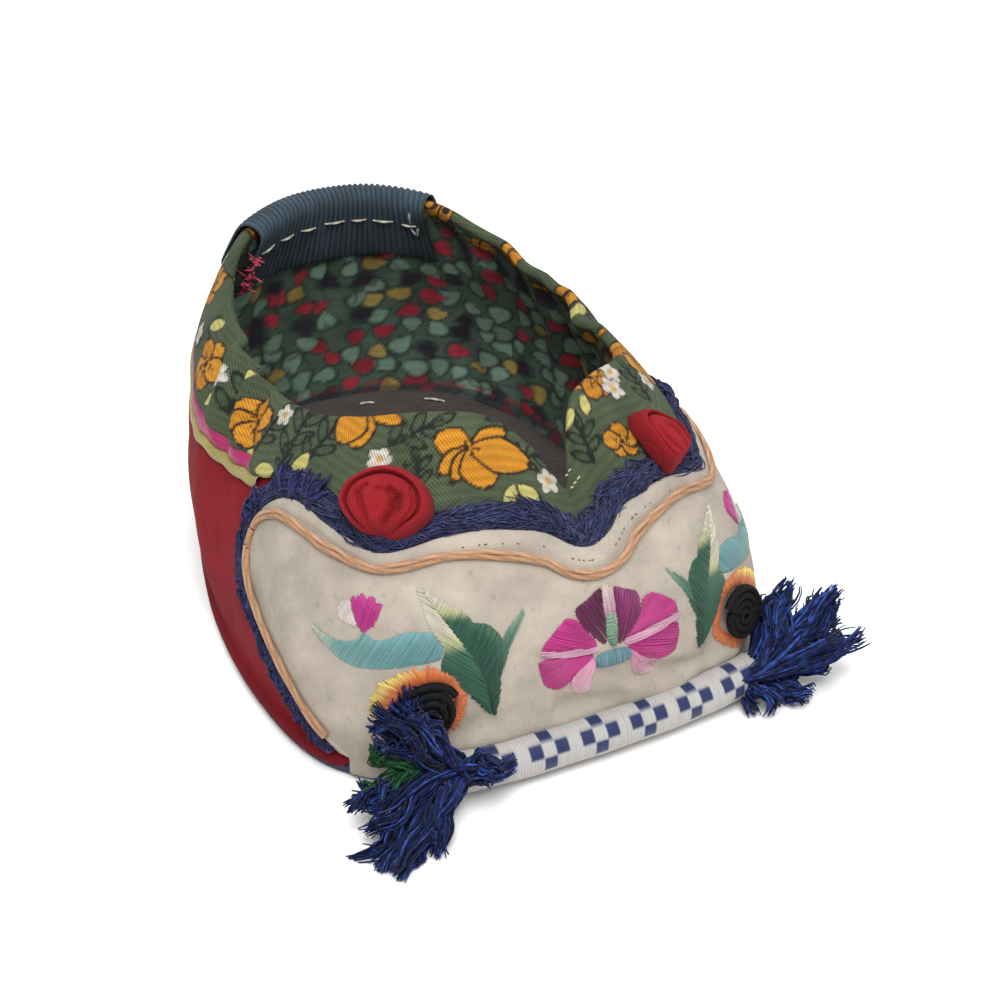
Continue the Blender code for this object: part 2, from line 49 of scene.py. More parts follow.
SIDES = ((1.0, "left"), (-1.0, "right"))  # the wearer's left lies towards +X
print("nodes", len(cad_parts))

# %% [markdown]
# ## The last
# A shoe takes its form from a last. One row per section gives the foot line, the belly of the wall and
# the rim, from the toe's middle to the heel's middle; the other side is the mirror, and one side stands
# pressed in by a few millimetres. The rows repeat the CAD source, so the cloth sits where its solid is.

# %% Sections of the last
FOOT_Z = 4.3
KNEE_SHARE = 0.2  # the bend of the wall stands this far on the way from foot to rim
# Columns: foot_x, foot_y, belly, rim_x, rim_y, rim_z
SECTIONS = np.array((
    (0.0, -47.5, 7.0, 0.0, -35.0, 40.0),
    (12.0, -47.4, 7.0, 4.0, -30.0, 46.0),
    (24.0, -46.6, 6.4, 9.5, -25.5, 51.0),
    (36.5, -43.4, 5.6, 18.0, -20.5, 51.5),
    (44.3, -33.8, 3.8, 27.5, -14.5, 50.0),
    (47.0, -16.0, 3.2, 33.0, -4.0, 48.0),
    (46.0, 4.0, 3.8, 34.5, 12.0, 47.5),
    (42.0, 24.0, 4.6, 32.5, 28.0, 49.0),
    (35.5, 43.0, 4.8, 28.0, 43.5, 51.5),
    (26.0, 57.0, 4.5, 20.5, 55.0, 55.0),
    (14.0, 64.5, 3.5, 10.5, 60.5, 57.0),
    (0.0, 66.5, 3.0, 0.0, 62.0, 57.5),
))
MIRROR = np.array([-1.0, 1.0, 1.0, -1.0, 1.0, 1.0])


def cubic_table(knots, values, at):
    """Smooth curve through a table, one slope per knot taken from its two neighbours."""
    knots = np.asarray(knots, float)
    values = np.asarray(values, float)
    at = np.asarray(at, float)
    slopes = np.empty_like(values)
    slopes[1:-1] = (values[2:] - values[:-2]) / (knots[2:] - knots[:-2])[:, None]
    slopes[0] = (values[1] - values[0]) / (knots[1] - knots[0])
    slopes[-1] = (values[-1] - values[-2]) / (knots[-1] - knots[-2])
    i = np.clip(np.searchsorted(knots, at, side="right") - 1, 0, len(knots) - 2)
    width = (knots[i + 1] - knots[i])[..., None]
    t = ((at - knots[i])[..., None]) / width
    start = (2 * t ** 3 - 3 * t ** 2 + 1) * values[i] + (t ** 3 - 2 * t ** 2 + t) * width * slopes[i]
    end = (3 * t ** 2 - 2 * t ** 3) * values[i + 1] + (t ** 3 - t ** 2) * width * slopes[i + 1]
    return start + end


def knots_along(rows):
    """Distance along a line of flat points, from its first one."""
    return np.concatenate([[0.0], np.cumsum(np.hypot(*np.diff(rows[:, :2], axis=0).T))])


# Columns: along, inwards
SIDE_TUCK = np.array((
    (0.0, 0.0), (10.0, 0.6), (24.0, 2.8), (36.0, 4.4), (50.0, 5.4), (65.0, 5.4), (85.0, 4.6), (105.0, 3.0),
    (125.0, 1.2), (142.0, 0.2), (155.0, 0.0), (180.0, 0.0),
))
KNOTS = knots_along(SECTIONS)
HALF = float(KNOTS[-1])
LOOP_KNOTS = np.concatenate([-KNOTS[2:0:-1], KNOTS, 2 * HALF - KNOTS[-2:-4:-1]])
LOOP_ROWS = np.concatenate([SECTIONS[2:0:-1] * MIRROR, SECTIONS, SECTIONS[-2:-4:-1] * MIRROR])


def section(along):
    along = np.asarray(along, float)
    along = (along + HALF) % (2 * HALF) - HALF
    rows = cubic_table(LOOP_KNOTS, LOOP_ROWS, np.abs(along))
    side = np.where(along < 0, -1.0, 1.0)
    tuck = cubic_table(SIDE_TUCK[:, 0], SIDE_TUCK[:, 1:], np.abs(along))[..., 0] * (along > 0)
    rows[..., 0] = rows[..., 0] * side - tuck
    rows[..., 3] = rows[..., 3] * side - tuck
    return rows


def rim_height(along):
    return section(along)[..., 5]


def skin(along, height):
    along, height = np.broadcast_arrays(np.asarray(along, float), np.asarray(height, float))
    foot_x, foot_y, belly, rim_x, rim_y, rim_z = np.moveaxis(section(along), -1, 0)
    step = section(along + 0.05) - section(along - 0.05)
    length = np.hypot(step[..., 0], step[..., 1])
    knee_x = foot_x + (rim_x - foot_x) * KNEE_SHARE + step[..., 1] / length * belly * 2
    knee_y = foot_y + (rim_y - foot_y) * KNEE_SHARE - step[..., 0] / length * belly * 2
    t = (height - FOOT_Z) / (rim_z - FOOT_Z)
    x = (1 - t) ** 2 * foot_x + 2 * t * (1 - t) * knee_x + t ** 2 * rim_x
    y = (1 - t) ** 2 * foot_y + 2 * t * (1 - t) * knee_y + t ** 2 * rim_y
    return np.stack([x, y, height], axis=-1)


def frame_at(along, height):
    """Point, outward normal and upward direction of the upper's outer face."""
    along, height = np.broadcast_arrays(np.asarray(along, float), np.asarray(height, float))
    across = skin(along + 0.2, height) - skin(along - 0.2, height)
    up = skin(along, height + 0.2) - skin(along, height - 0.2)
    normal = np.cross(across, up)
    normal /= np.linalg.norm(normal, axis=-1, keepdims=True)
    up /= np.linalg.norm(up, axis=-1, keepdims=True)
    return skin(along, height), normal, up


def stretch_at(along, height):
    """Millimetres of cloth to one of along and to one of height, about a place on the wall."""
    wide = np.linalg.norm(skin(along + 0.5, height) - skin(along - 0.5, height))
    tall = np.linalg.norm(skin(along, height + 0.5) - skin(along, height - 0.5))
    return np.array([wide, tall])


print("half loop mm", round(HALF, 1))

# %% [markdown]
# ## Creases
# Old cloth never lies flat. Each crease is a soft trough or ridge along a given line on the wall.
# Every layer reads the same creases, so the layers bend together and never cut through each other.
# The last row is the swelling of the panel above the toe roll.

# %% Crease table
# Columns: along_a, height_a, along_b, height_b, width, depth
CREASES = np.array((
    (-82, 47, -79, 39, 2.2, -1.6),
    (-87, 48, -84, 40, 2.2, 1.7),
    (-93, 49, -89, 38, 2.6, -2.4),
    (-99, 48, -95, 39, 2.4, 1.7),
    (-106, 48, -103, 39, 2.8, -1.3),
    (-118, 48, -112, 40, 3.0, 0.5),
    (-100, 33, -94, 10, 6.0, 0.7),
    (-84, 32, -80, 12, 5.0, -0.5),
    (-120, 34, -124, 12, 6.0, -0.6),
    (94, 48, 92, 22, 4.0, 0.9),
    (104, 46, 103, 22, 3.4, 0.6),
    (112, 47, 113, 20, 4.0, -0.7),
    (122, 48, 124, 24, 4.0, 0.6),
    (84, 48, 80, 30, 4.0, -1.6),
    (134, 48, 138, 24, 4.5, -0.5),
    (9, 14, 22, 9, 1.6, -0.9),
    (4, 11, 16, 8, 1.5, 0.7),
    (-9, 12, 2, 9, 1.7, -0.7),
    (6, 18, 18, 12, 1.8, 0.5),
    (-3, 16, 8, 12, 1.6, -0.5),
    (24, 12, 36, 20, 2.2, -0.5),
    (-30, 32, -14, 30, 2.6, -0.35),
    (-58, 31, -50, 20, 3.0, 0.5),
    (-24, 9, -12, 11, 1.8, 0.45),
    (-17, 13, -20, 26, 2.2, -0.35),
    (19, 14, 17, 31, 2.2, -0.4),
    (-44, 14, -52, 28, 3.0, -0.5),
    (50, 12, 56, 26, 3.5, -0.35),
    (12, 47, 10, 40, 1.8, -0.35),
    (-12, 46, -14, 42, 2.0, 0.3),
    (28, 49, 26, 44, 2.2, -0.35),
    (-55, 48, -53, 44, 2.4, -0.35),
    (-28, 8.2, 31, 8.2, 1.7, 1.7),
), float)


def line_distance(x, y, x0, y0, x1, y1):
    """Distance of places from the straight line between two points."""
    run_x, run_y = x1 - x0, y1 - y0
    share = np.clip(((x - x0) * run_x + (y - y0) * run_y) / (run_x ** 2 + run_y ** 2), 0, 1)
    return np.hypot(x - x0 - share * run_x, y - y0 - share * run_y)


def crease(along, height):
    along = (np.asarray(along, float) + HALF) % (2 * HALF) - HALF
    total = np.zeros(np.broadcast(along, height).shape)
    for *line, width, depth in CREASES:
        total += depth * np.exp(-(line_distance(along, height, *line) / width) ** 2)
    return total


def wall(along, height, offset):
    """Point on the shoe's wall, moved outwards by offset millimetres, creases included."""
    point, normal, _ = frame_at(along, height)
    lift = np.asarray(offset, float) + crease(along, height)
    return point + normal * lift[..., None]


def smooth(low, high, value):
    t = np.clip((np.asarray(value, float) - low) / (high - low), 0, 1)
    return t * t * (3 - 2 * t)


print("creases", len(CREASES))

# %% [markdown]
# ## From arrays to pieces
# Every piece below is a mesh made from arrays. A piece carries its cloth coordinates in millimetres as
# a UV map, which gives the weave its real scale, and a colour per point, which holds dyes, prints and
# dirt. One helper makes the object and hands it to the frame.

# %% Mesh helpers
SEED = np.random.default_rng(20)


def linear(colour):
    shares = np.array([int(colour[i:i + 2], 16) / 255 for i in (1, 3, 5)])
    return np.where(shares <= 0.04045, shares / 12.92, ((shares + 0.055) / 1.055) ** 2.4)


def grid_faces(rows, columns, first=0, wrap=False):
    i, k = np.meshgrid(np.arange(rows - 1), np.arange(columns if wrap else columns - 1), indexing="ij")
    n = (k + 1) % columns
    quad = np.stack([i * columns + k, i * columns + n, (i + 1) * columns + n, (i + 1) * columns + k], -1)
    return quad.reshape(-1, 4) + first


def make_piece(name, points, faces, finish, cloth_mm, dye, nodes=()):
    points = np.asarray(points, float).reshape(-1, 3)
    mesh = bpy.data.meshes.new(name)
    mesh.from_pydata((points * MM).tolist(), [], faces if isinstance(faces, list) else faces.tolist())
    mesh.polygons.foreach_set("use_smooth", [True] * len(mesh.polygons))
    corner = np.empty(len(mesh.loops), int)
    mesh.loops.foreach_get("vertex_index", corner)
    layer = mesh.uv_layers.new(name="cloth_mm")
    layer.data.foreach_set("uv", np.asarray(cloth_mm, float).reshape(-1, 2)[corner].ravel())
    dye = np.clip(np.asarray(dye, float).reshape(-1, 3), 0, 1)
    dye = np.broadcast_to(dye, (len(points), 3))
    paint = mesh.color_attributes.new("dye", "FLOAT_COLOR", "POINT")
    paint.data.foreach_set("color", np.column_stack([dye, np.ones(len(points))]).ravel())
    mesh.materials.append(finish)
    item = bpy.data.objects.new(name, mesh)
    bpy.context.scene.collection.objects.link(item)
    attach(item, "root")
    for node_name in nodes:
        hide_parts(node_name)
    print(name, "triangles", sum(len(p.vertices) - 2 for p in mesh.polygons))
    return item


def tubes(paths, radii, sides):
    """Many round strands at once: paths (strand, step, 3), radii (strand, step)."""
    paths = np.asarray(paths, float)
    count, steps = paths.shape[:2]
    radii = np.broadcast_to(np.asarray(radii, float), (count, steps))
    run = np.gradient(paths, axis=1)
    run /= np.linalg.norm(run, axis=2, keepdims=True) + 1e-9
    helper = np.where(np.abs(run[..., 2:3]) > 0.9, np.array([1.0, 0, 0]), np.array([0, 0, 1.0]))
    side = np.cross(run, helper)
    side /= np.linalg.norm(side, axis=2, keepdims=True)
    up = np.cross(side, run)
    angle = 2 * np.pi * np.arange(sides) / sides
    ring = np.cos(angle)[:, None] * side[:, :, None, :] + np.sin(angle)[:, None] * up[:, :, None, :]
    points = paths[:, :, None, :] + ring * radii[:, :, None, None]
    length = np.concatenate([np.zeros((count, 1)), np.cumsum(
        np.linalg.norm(np.diff(paths, axis=1), axis=2), axis=1)], axis=1)
    cloth = np.stack([np.broadcast_to(length[:, :, None], points.shape[:3]),
                      np.broadcast_to(angle / (2 * np.pi), points.shape[:3])], -1)
    one = grid_faces(steps, sides, 0, True)
    faces = (one[None] + (np.arange(count) * steps * sides)[:, None, None]).reshape(-1, 4)
    return points.reshape(-1, 3), faces, cloth.reshape(-1, 2)


def strand_piece(name, paths, radii, sides, finish, colours, nodes=()):
    """Many round strands as one piece, each in one colour."""
    points, faces, cloth = tubes(paths, radii, sides)
    dye = np.repeat(np.asarray(colours), paths.shape[1] * sides, axis=0)
    return make_piece(name, points, faces, finish, cloth, dye, nodes)


def lengths_along(path):
    """Distance along a path, from its first point."""
    return np.concatenate([[0.0], np.cumsum(np.linalg.norm(np.diff(path, axis=0), axis=1))])


def jitter(colour, count, spread):
    """The same dye on many strands, a little lighter or darker on each."""
    return np.clip(linear(colour)[None] * (1 + spread * SEED.standard_normal((count, 1))), 0, 1)


def spread_dye(dye, cover, colour):
    """Lay a colour over the dye, as thickly as cover says."""
    dye += cover[:, None] * (linear(colour) - dye)


def turn_flat(x, y, lean):
    """Flat places seen from axes that are turned by lean, in radians."""
    c, s = math.cos(lean), math.sin(lean)
    return c * x + s * y, c * y - s * x


print("helpers ready")

# %% [markdown]
# ## Woven finishes
# Plain weave is two sets of threads crossing; twill steps sideways and shows as diagonal ribs. Both are
# drawn with wave textures on the cloth coordinates. Real threads here are about 0.3 mm apart, close to
# two pixels, so each weave is drawn a little coarser so that it still shows. Cloth is rough and slightly
# fuzzy, which is a high roughness and a touch of sheen.

# %% Node helper and woven cloth


def add(tree, kind, settings=None, links=None):
    """Add one node, set its values and link its inputs."""
    item = tree.nodes.new(kind)
    for key, value in (settings or {}).items():
        if isinstance(key, int) or key in item.inputs:
            item.inputs[key].default_value = value
        else:
            setattr(item, key, value)
    for key, socket in (links or {}).items():
        tree.links.new(socket, item.inputs[key])
    return item


def start_finish(name, roughness, sheen, specular=0.3):
    finish = bpy.data.materials.new(name)
    finish.use_nodes = True
    shader = finish.node_tree.nodes["Principled BSDF"]
    shader.inputs["Roughness"].default_value = roughness
    shader.inputs["Sheen Weight"].default_value = sheen
    shader.inputs["Sheen Roughness"].default_value = 0.5
    shader.inputs["Specular IOR Level"].default_value = specular
    return finish, finish.node_tree, shader


def dye_and_relief(tree, shader, shade_and_fading, height, strength, depth_mm):
    """The piece's own dye, scaled by painted shade of the weave or plies, with uneven fading in woven cloth,
    and a relief made from height.
    """
    dye = add(tree, "ShaderNodeAttribute", {"attribute_name": "dye"})
    colour = add(tree, "ShaderNodeVectorMath", {"operation": "SCALE"},
                 {0: dye.outputs["Color"], "Scale": shade_and_fading.outputs[0]})
    relief = add(tree, "ShaderNodeBump", {"Strength": strength, "Distance": depth_mm * MM},
                 {"Height": height.outputs[0]})
    tree.links.new(colour.outputs[0], shader.inputs["Base Color"])
    tree.links.new(relief.outputs["Normal"], shader.inputs["Normal"])


# A wave texture of scale 1 repeats after this length, along an axis or along the diagonal.
BAND = 2 * math.pi / 20
DIAGONAL_BAND = 2 * math.pi / 10
TWILL_STEP = 2.2
FADE_SCALE = 140.0  # noise in a metre: faded patches of about 7 mm


def woven(name, thread_mm, twill, depth_mm, show, roughness=0.85, sheen=0.15, mottle=0.16, specular=0.25):
    """Cloth in the piece's own dye: the weave as painted shade in colour and as height, and uneven fading."""
    finish, tree, shader = start_finish(name, roughness, sheen, specular)
    cloth = add(tree, "ShaderNodeUVMap", {"uv_map": "cloth_mm"})
    if twill:
        across = {"bands_direction": "DIAGONAL", "Scale": DIAGONAL_BAND / thread_mm}
    else:
        across = {"bands_direction": "X", "Scale": BAND / thread_mm}
    down = {"bands_direction": "Y", "Scale": BAND / (thread_mm * (TWILL_STEP if twill else 1.0))}
    soft = {"Distortion": 0.8, "Detail": 1.0, "Detail Scale": 1.5}
    warp = add(tree, "ShaderNodeTexWave", {**across, **soft}, {"Vector": cloth.outputs["UV"]})
    weft = add(tree, "ShaderNodeTexWave", {**down, **soft}, {"Vector": cloth.outputs["UV"]})
    both = add(tree, "ShaderNodeMath", {"operation": "MULTIPLY_ADD", 1: 0.45 if twill else 1.0},
               {0: weft.outputs["Fac"], 2: warp.outputs["Fac"]})
    place = add(tree, "ShaderNodeTexCoord")
    fade = add(tree, "ShaderNodeTexNoise", {"Scale": FADE_SCALE, "Detail": 5.0, "Roughness": 0.65},
               {"Vector": place.outputs["Object"]})
    shade = add(tree, "ShaderNodeMapRange", {"From Min": 0.0, "From Max": 1.8, "To Min": 1 - 1.4 * show,
                                             "To Max": 1 + 0.7 * show},
                {"Value": both.outputs[0]})
    worn = add(tree, "ShaderNodeMapRange", {"From Min": 0.3, "From Max": 0.7, "To Min": 1 - mottle,
                                            "To Max": 1 + mottle}, {"Value": fade.outputs["Fac"]})
    shade_and_fading = add(tree, "ShaderNodeMath", {"operation": "MULTIPLY"}, {0: shade.outputs[0], 1: worn.outputs[0]})
    dye_and_relief(tree, shader, shade_and_fading, both, 0.6, depth_mm)
    return finish


# Plain woven, dyed and worn: a dull, even red with a faint weave.
red_cotton = woven("red plain cotton", 0.55, False, 0.06, 0.14, sheen=0.0, specular=0.12)
# A twill printed on one side: diagonal ribs break up the edges of the print.
printed_twill = woven("printed cotton twill", 0.58, True, 0.12, 0.36, sheen=0.02, mottle=0.16)
# A softer twill, dulled by wear: a dim, blurred print.
lining_cotton = woven("printed lining cotton", 0.8, True, 0.10, 0.14, sheen=0.03, mottle=0.2)
# Fine cotton without a glaze: chalky cream, softly soiled.
cream_cotton = woven("cream cotton", 0.42, False, 0.025, 0.02, sheen=0.0, mottle=0.18, specular=0.15)
# Layers stitched hard together: a dry dark edge without shine.
sole_cotton = woven("layered navy cotton", 0.7, False, 0.09, 0.2, roughness=0.95)
# A narrow tape, folded: a slight shine along the fold.
ribbon_weave = woven("narrow woven ribbon", 0.6, False, 0.08, 0.15, roughness=0.6, sheen=0.15)
# The red cotton rolled up: a deeper red between the folds.
rolled_cotton = woven("rolled red cotton", 0.5, False, 0.06, 0.14, sheen=0.02)
# Pile cut into ribs, dusty and dull; its pieces carry painted shade between the ribs, highlight on top.
corduroy = woven("fine corduroy", 0.45, False, 0.05, 0.15, roughness=0.95, sheen=0.08, mottle=0.35)
print("woven finishes 8")

# %% [markdown]
# ## Thread finishes
# Yarn is twisted, so its surface shows slanting plies. Embroidery floss is untwisted silk-like thread
# and shines along its length. Both read the strand's own coordinates: length, and turn round it.

# %% Yarn and floss
FUZZ_SCALE = 1500.0  # noise in a metre: loose hairs of under 1 mm


def twisted(name, ply_mm, depth_mm, roughness, sheen, specular, turns=1.0, show=1.0):
    finish, tree, shader = start_finish(name, roughness, sheen, specular)
    strand = add(tree, "ShaderNodeUVMap", {"uv_map": "cloth_mm"})
    parts = add(tree, "ShaderNodeSeparateXYZ", None, {0: strand.outputs["UV"]})
    run = add(tree, "ShaderNodeMath", {"operation": "DIVIDE", 1: ply_mm}, {0: parts.outputs["X"]})
    lay = add(tree, "ShaderNodeMath", {"operation": "MULTIPLY_ADD", 1: turns},
              {0: parts.outputs["Y"], 2: run.outputs[0]})
    phase = add(tree, "ShaderNodeMath", {"operation": "MULTIPLY", 1: 2 * math.pi}, {0: lay.outputs[0]})
    ply = add(tree, "ShaderNodeMath", {"operation": "SINE"}, {0: phase.outputs[0]})
    place = add(tree, "ShaderNodeTexCoord")
    fuzz = add(tree, "ShaderNodeTexNoise", {"Scale": FUZZ_SCALE, "Detail": 3.0},
               {"Vector": place.outputs["Object"]})
    height = add(tree, "ShaderNodeMath", {"operation": "MULTIPLY_ADD", 1: 1.4},
                 {0: fuzz.outputs["Fac"], 2: ply.outputs[0]})
    shade = add(tree, "ShaderNodeMapRange", {"From Min": -0.8, "From Max": 1.9, "To Min": 1 - 0.38 * show,
                                             "To Max": 1 + 0.25 * show},
                {"Value": height.outputs[0]})
    dye_and_relief(tree, shader, shade, height, 0.7, depth_mm)
    return finish


# Cotton loosely twisted: matt, with slanting plies.
cotton_yarn = twisted("twisted cotton yarn", 2.2, 0.12, 0.85, 0.06, 0.15)
# Two silk strands sewn down flat: a soft shine and a fine slant.
silk_cord = twisted("couched silk cord", 5.0, 0.04, 0.75, 0.1, 0.2, 3.0, show=0.7)
# Silk laid flat, untwisted: a gloss that runs along the stitch.
floss = twisted("silk embroidery floss", 9.0, 0.02, 0.45, 0.08, 0.4, 2.0, show=0.5)
# Silk wound tightly round a roll: fine pale rings.
wrapped_silk = twisted("wrapped silk thread", 0.45, 0.03, 0.6, 0.1, 0.35, 0.0, show=0.35)
# A hard-twisted cord, coiled: near black, with a small dull shine.
black_cord = twisted("black coiled cord", 1.6, 0.06, 0.7, 0.0, 0.2)
print("thread finishes 5")

# %% [markdown]
# ## Sole and insole
# The sole is several layers of cloth stitched together. Only its dark edge shows, standing a little
# proud of the upper. Rings that follow the foot line are stacked from the floor up, with shallow steps
# between the layers.

# %% Outsole
COLUMNS = 360
SOLE_TOP = 4.0
ARCH_FROM, ARCH_LONG, ARCH_RISE = 8.0, 26.0, 0.9
TOE_FROM, TOE_LONG = -36.0, 12.0


def foot_line(along):
    """Foot line of the upper and the level directions out of it."""
    foot, normal, _ = frame_at(along, np.full(len(along), FOOT_Z))
    return foot, normal[:, :2] / np.linalg.norm(normal[:, :2], axis=1, keepdims=True)


def foot_ring(offset):
    along = np.linspace(-HALF, HALF, COLUMNS, endpoint=False)
    foot, flat = foot_line(along)
    return along, foot[:, :2] + flat * offset


def under_rise(y):
    """Height of the sole's underside: a low arch and a little toe spring."""
    arch = np.clip((y - ARCH_FROM) / ARCH_LONG, 0, 1)
    toe = np.clip((TOE_FROM - y) / TOE_LONG, 0, 1)
    return ARCH_RISE * np.sin(np.pi * arch) ** 2 + toe ** 2


# Columns: outwards from the foot line, share of the sole's height
SOLE_PROFILE = (
    (-14.0, 0.0), (-4.0, 0.0), (0.3, 0.0), (0.8, 0.1), (1.1, 0.22), (1.05, 0.34), (1.25, 0.4), (1.3, 0.52),
    (1.2, 0.6), (1.05, 0.64), (1.25, 0.72), (1.1, 0.86), (0.7, 0.97), (0.0, 1.0), (-6.0, 1.0),
)
rings = []
cloth = []
for offset, share in SOLE_PROFILE:
    along, flat = foot_ring(offset)
    low = under_rise(flat[:, 1])
    rings.append(np.column_stack([flat, low + (SOLE_TOP - low) * share]))
    cloth.append(np.column_stack([along, np.full(COLUMNS, share * 6 + offset)]))
faces = grid_faces(len(rings), COLUMNS, 0, True).tolist()
faces.append(list(range(COLUMNS))[::-1])
edge_dye = linear("#232a4a") * (0.85 + 0.3 * SEED.random((len(rings) * COLUMNS, 1)))
make_piece("sole", np.concatenate(rings), faces, sole_cotton, np.concatenate(cloth), edge_dye, ("outsole",))

# %% [markdown]
# ### Insole
# The insole is a thin cloth on top of the sole, and it rises towards the heel. It is a sheet from the foot
# line in to a middle line, a little lumpy, because a worn insole never lies flat.

# %% Insole
INSOLE_TOE, INSOLE_LIFT = 5.8, 5.0
along, flat = foot_ring(-1.4)
rows = 24


def insole_top(y):
    """Height of the insole, which rises towards the heel."""
    return INSOLE_TOE + INSOLE_LIFT * smooth(-10.0, 58.0, y)


share = np.linspace(0, 1, rows)[:, None, None]
rim_points = np.column_stack([flat, np.zeros(COLUMNS)])
spine = np.column_stack([np.zeros(COLUMNS), np.clip(flat[:, 1], -30, 50), np.zeros(COLUMNS)])
surface = rim_points[None] * (1 - share) + spine[None] * share
lumps = 0.2 * np.sin(surface[..., 0] * 0.31) * np.cos(surface[..., 1] * 0.23)
surface[..., 2] = insole_top(surface[..., 1]) + lumps
surface[0, :, 2] -= 0.9
faces = grid_faces(rows, COLUMNS, 0, True)
shade = linear("#48423f") * (0.85 + 0.25 * SEED.random((surface.size // 3, 1)))
make_piece("insole_cloth", surface, faces, lining_cotton, surface[..., :2].reshape(-1, 2), shade, ("insole",))

# %% [markdown]
# ## The red quarter
# The upper itself is plain red cotton. It shows between the collar and the sole, along the sides and
# round the heel. Its dye is painted darker towards the sole and a lighter red on its belly.

# %% Red upper
# Columns: outwards from the foot line, z
TURNED_EDGE = ((0.9, 1.5), (1.4, 1.6), (1.65, 2.3), (1.6, 3.2), (1.2, 4.0), (0.7, 4.4))
BURIED_ROWS = 3  # rows of the wall that the turned edge takes the place of
PANEL_FOOT = (41, 45)  # the panel ends between these; under it the edge is drawn up to HIDDEN_Z
HIDDEN_Z = 4.4
rows = 56
along = np.linspace(-HALF, HALF, COLUMNS + 1)
share = np.linspace(0, 1, rows)[:, None]
height = FOOT_Z - 0.25 + (rim_height(along) - 0.9 - FOOT_Z) * share
wide = np.broadcast_to(along, height.shape)
points = wall(wide, height, 0.35 * (1 - smooth(4.2, 8.0, height)))
turned = []
foot, flat = foot_line(along)
for out, z in TURNED_EDGE:
    ring = foot[:, :2] + flat * out
    low = np.maximum(z, under_rise(ring[:, 1]) + z - 0.3)
    hidden = 1 - smooth(*PANEL_FOOT, np.abs(along))
    turned.append(np.column_stack([ring, low + (HIDDEN_Z - low) * hidden]))
points = np.concatenate([np.array(turned), points[BURIED_ROWS:]])
turned_height = np.broadcast_to(np.linspace(-1.0, 4.2, len(turned))[:, None], (len(turned), COLUMNS + 1))
height = np.concatenate([turned_height, height[BURIED_ROWS:]])
wide = np.broadcast_to(along, height.shape)
rows = len(points)
# Darker towards the sole, with a faint wavy unevenness, and a lighter red on the belly of the wall.
darker_near_sole = 1 - 0.3 * (1 - smooth(1, 8, height)) - 0.06 * np.sin(wide * 0.9) * np.cos(height * 0.7)
lighter_belly = smooth(8, 20, height) * (1 - smooth(26, 36, height))
red = linear("#78141d")[None, None] * darker_near_sole[..., None]
red = red * (1 - 0.2 * lighter_belly[..., None]) + 0.2 * lighter_belly[..., None] * linear("#8a222c")
make_piece("red_quarter", points, grid_faces(rows, COLUMNS + 1), red_cotton, np.stack([wide, height], -1),
           red, ("upper",))

# %% [markdown]
# ## The printed lining
# Inside is a second printed cotton: red, mustard and black drops and outlined leaves on grey-green, with
# thin curling stems. The drops sit on a loose grid with a random lean; each is an egg-shaped distance
# that gives both its fill and its dark outline. A printed repeat this busy can be scattered by rule, with
# no picture.

# %% Lining
LINING_FOOT = 5.2
LINING_OFFSET = -2.05  # just inside the upper's 2 mm wall
DROP_PITCH = (4.7, 4.6)
DROP_SHIFT = 1.6
STEMS = 90
# The wall narrows upwards and leans, so the print is fitted to it by these shares.
WIDE_SHARE, TALL_SHARE = 0.82, 1.12
columns = 600
rows = 84
along = np.linspace(-HALF, HALF, columns)
share = np.linspace(0, 1, rows)[:, None]
height = LINING_FOOT + (rim_height(along) - 0.5 - LINING_FOOT) * share
wide = np.broadcast_to(along, height.shape)
drop = rim_height(along) - height
inner = LINING_OFFSET + 0.95 * (1 - smooth(2.0, 10.0, drop))
folds = 0.5 * np.sin(wide * 0.55 + 0.8 * np.sin(height * 0.2)) * smooth(70, 90, np.abs(wide))
points = wall(wide, height, inner + folds)
dye = np.tile(linear("#4c5d52"), (columns * rows, 1))
dye = dye * (1 + 0.10 * np.sin(wide * 0.41 + height * 0.3) * np.cos(height * 0.37)).reshape(-1, 1)
flat_a = wide.ravel() * WIDE_SHARE
flat_h = height.ravel() * TALL_SHARE
# Columns: colour, share of the drops
DROPS = (("#a02c3b", 0.22), ("#a08a4a", 0.14), ("#2b2731", 0.15), ("#748e7d", 0.49))
span = HALF * WIDE_SHARE
drop_a, drop_h = np.meshgrid(np.arange(-span, span - 2, DROP_PITCH[0]), np.arange(4.0, 66.0, DROP_PITCH[1]),
                             indexing="ij")
drop_a = drop_a.ravel() + SEED.uniform(-DROP_SHIFT, DROP_SHIFT, drop_a.size)
drop_h = drop_h.ravel() + SEED.uniform(-DROP_SHIFT, DROP_SHIFT, drop_h.size)
kinds = SEED.choice(len(DROPS), drop_a.size, p=[p for _, p in DROPS])
for spot_a, spot_h, kind in zip(drop_a, drop_h, kinds):
    round_a = (flat_a - spot_a + span) % (2 * span) - span
    close = (np.abs(round_a) < 5) & (np.abs(flat_h - spot_h) < 5)
    if not close.any():
        continue
    lean = SEED.uniform(0, 2 * math.pi)
    size = SEED.uniform(1.4, 2.1)
    u, v = turn_flat(round_a[close], flat_h[close] - spot_h, lean)
    u = u / (size * 1.35)
    v = v / (size * (1.0 - 0.6 * np.clip(u, -1, 1)))
    far = np.hypot(u, v)
    inside = (1 - smooth(0.74, 1.06, far))[:, None]
    line = np.exp(-((far - 1.06) / 0.17) ** 2)[:, None] * 0.7
    here = dye[close]
    here = here * (1 - inside) + inside * linear(DROPS[kind][0]) * SEED.uniform(0.8, 1.15)
    dye[close] = here * (1 - line) + line * linear("#1e2926")
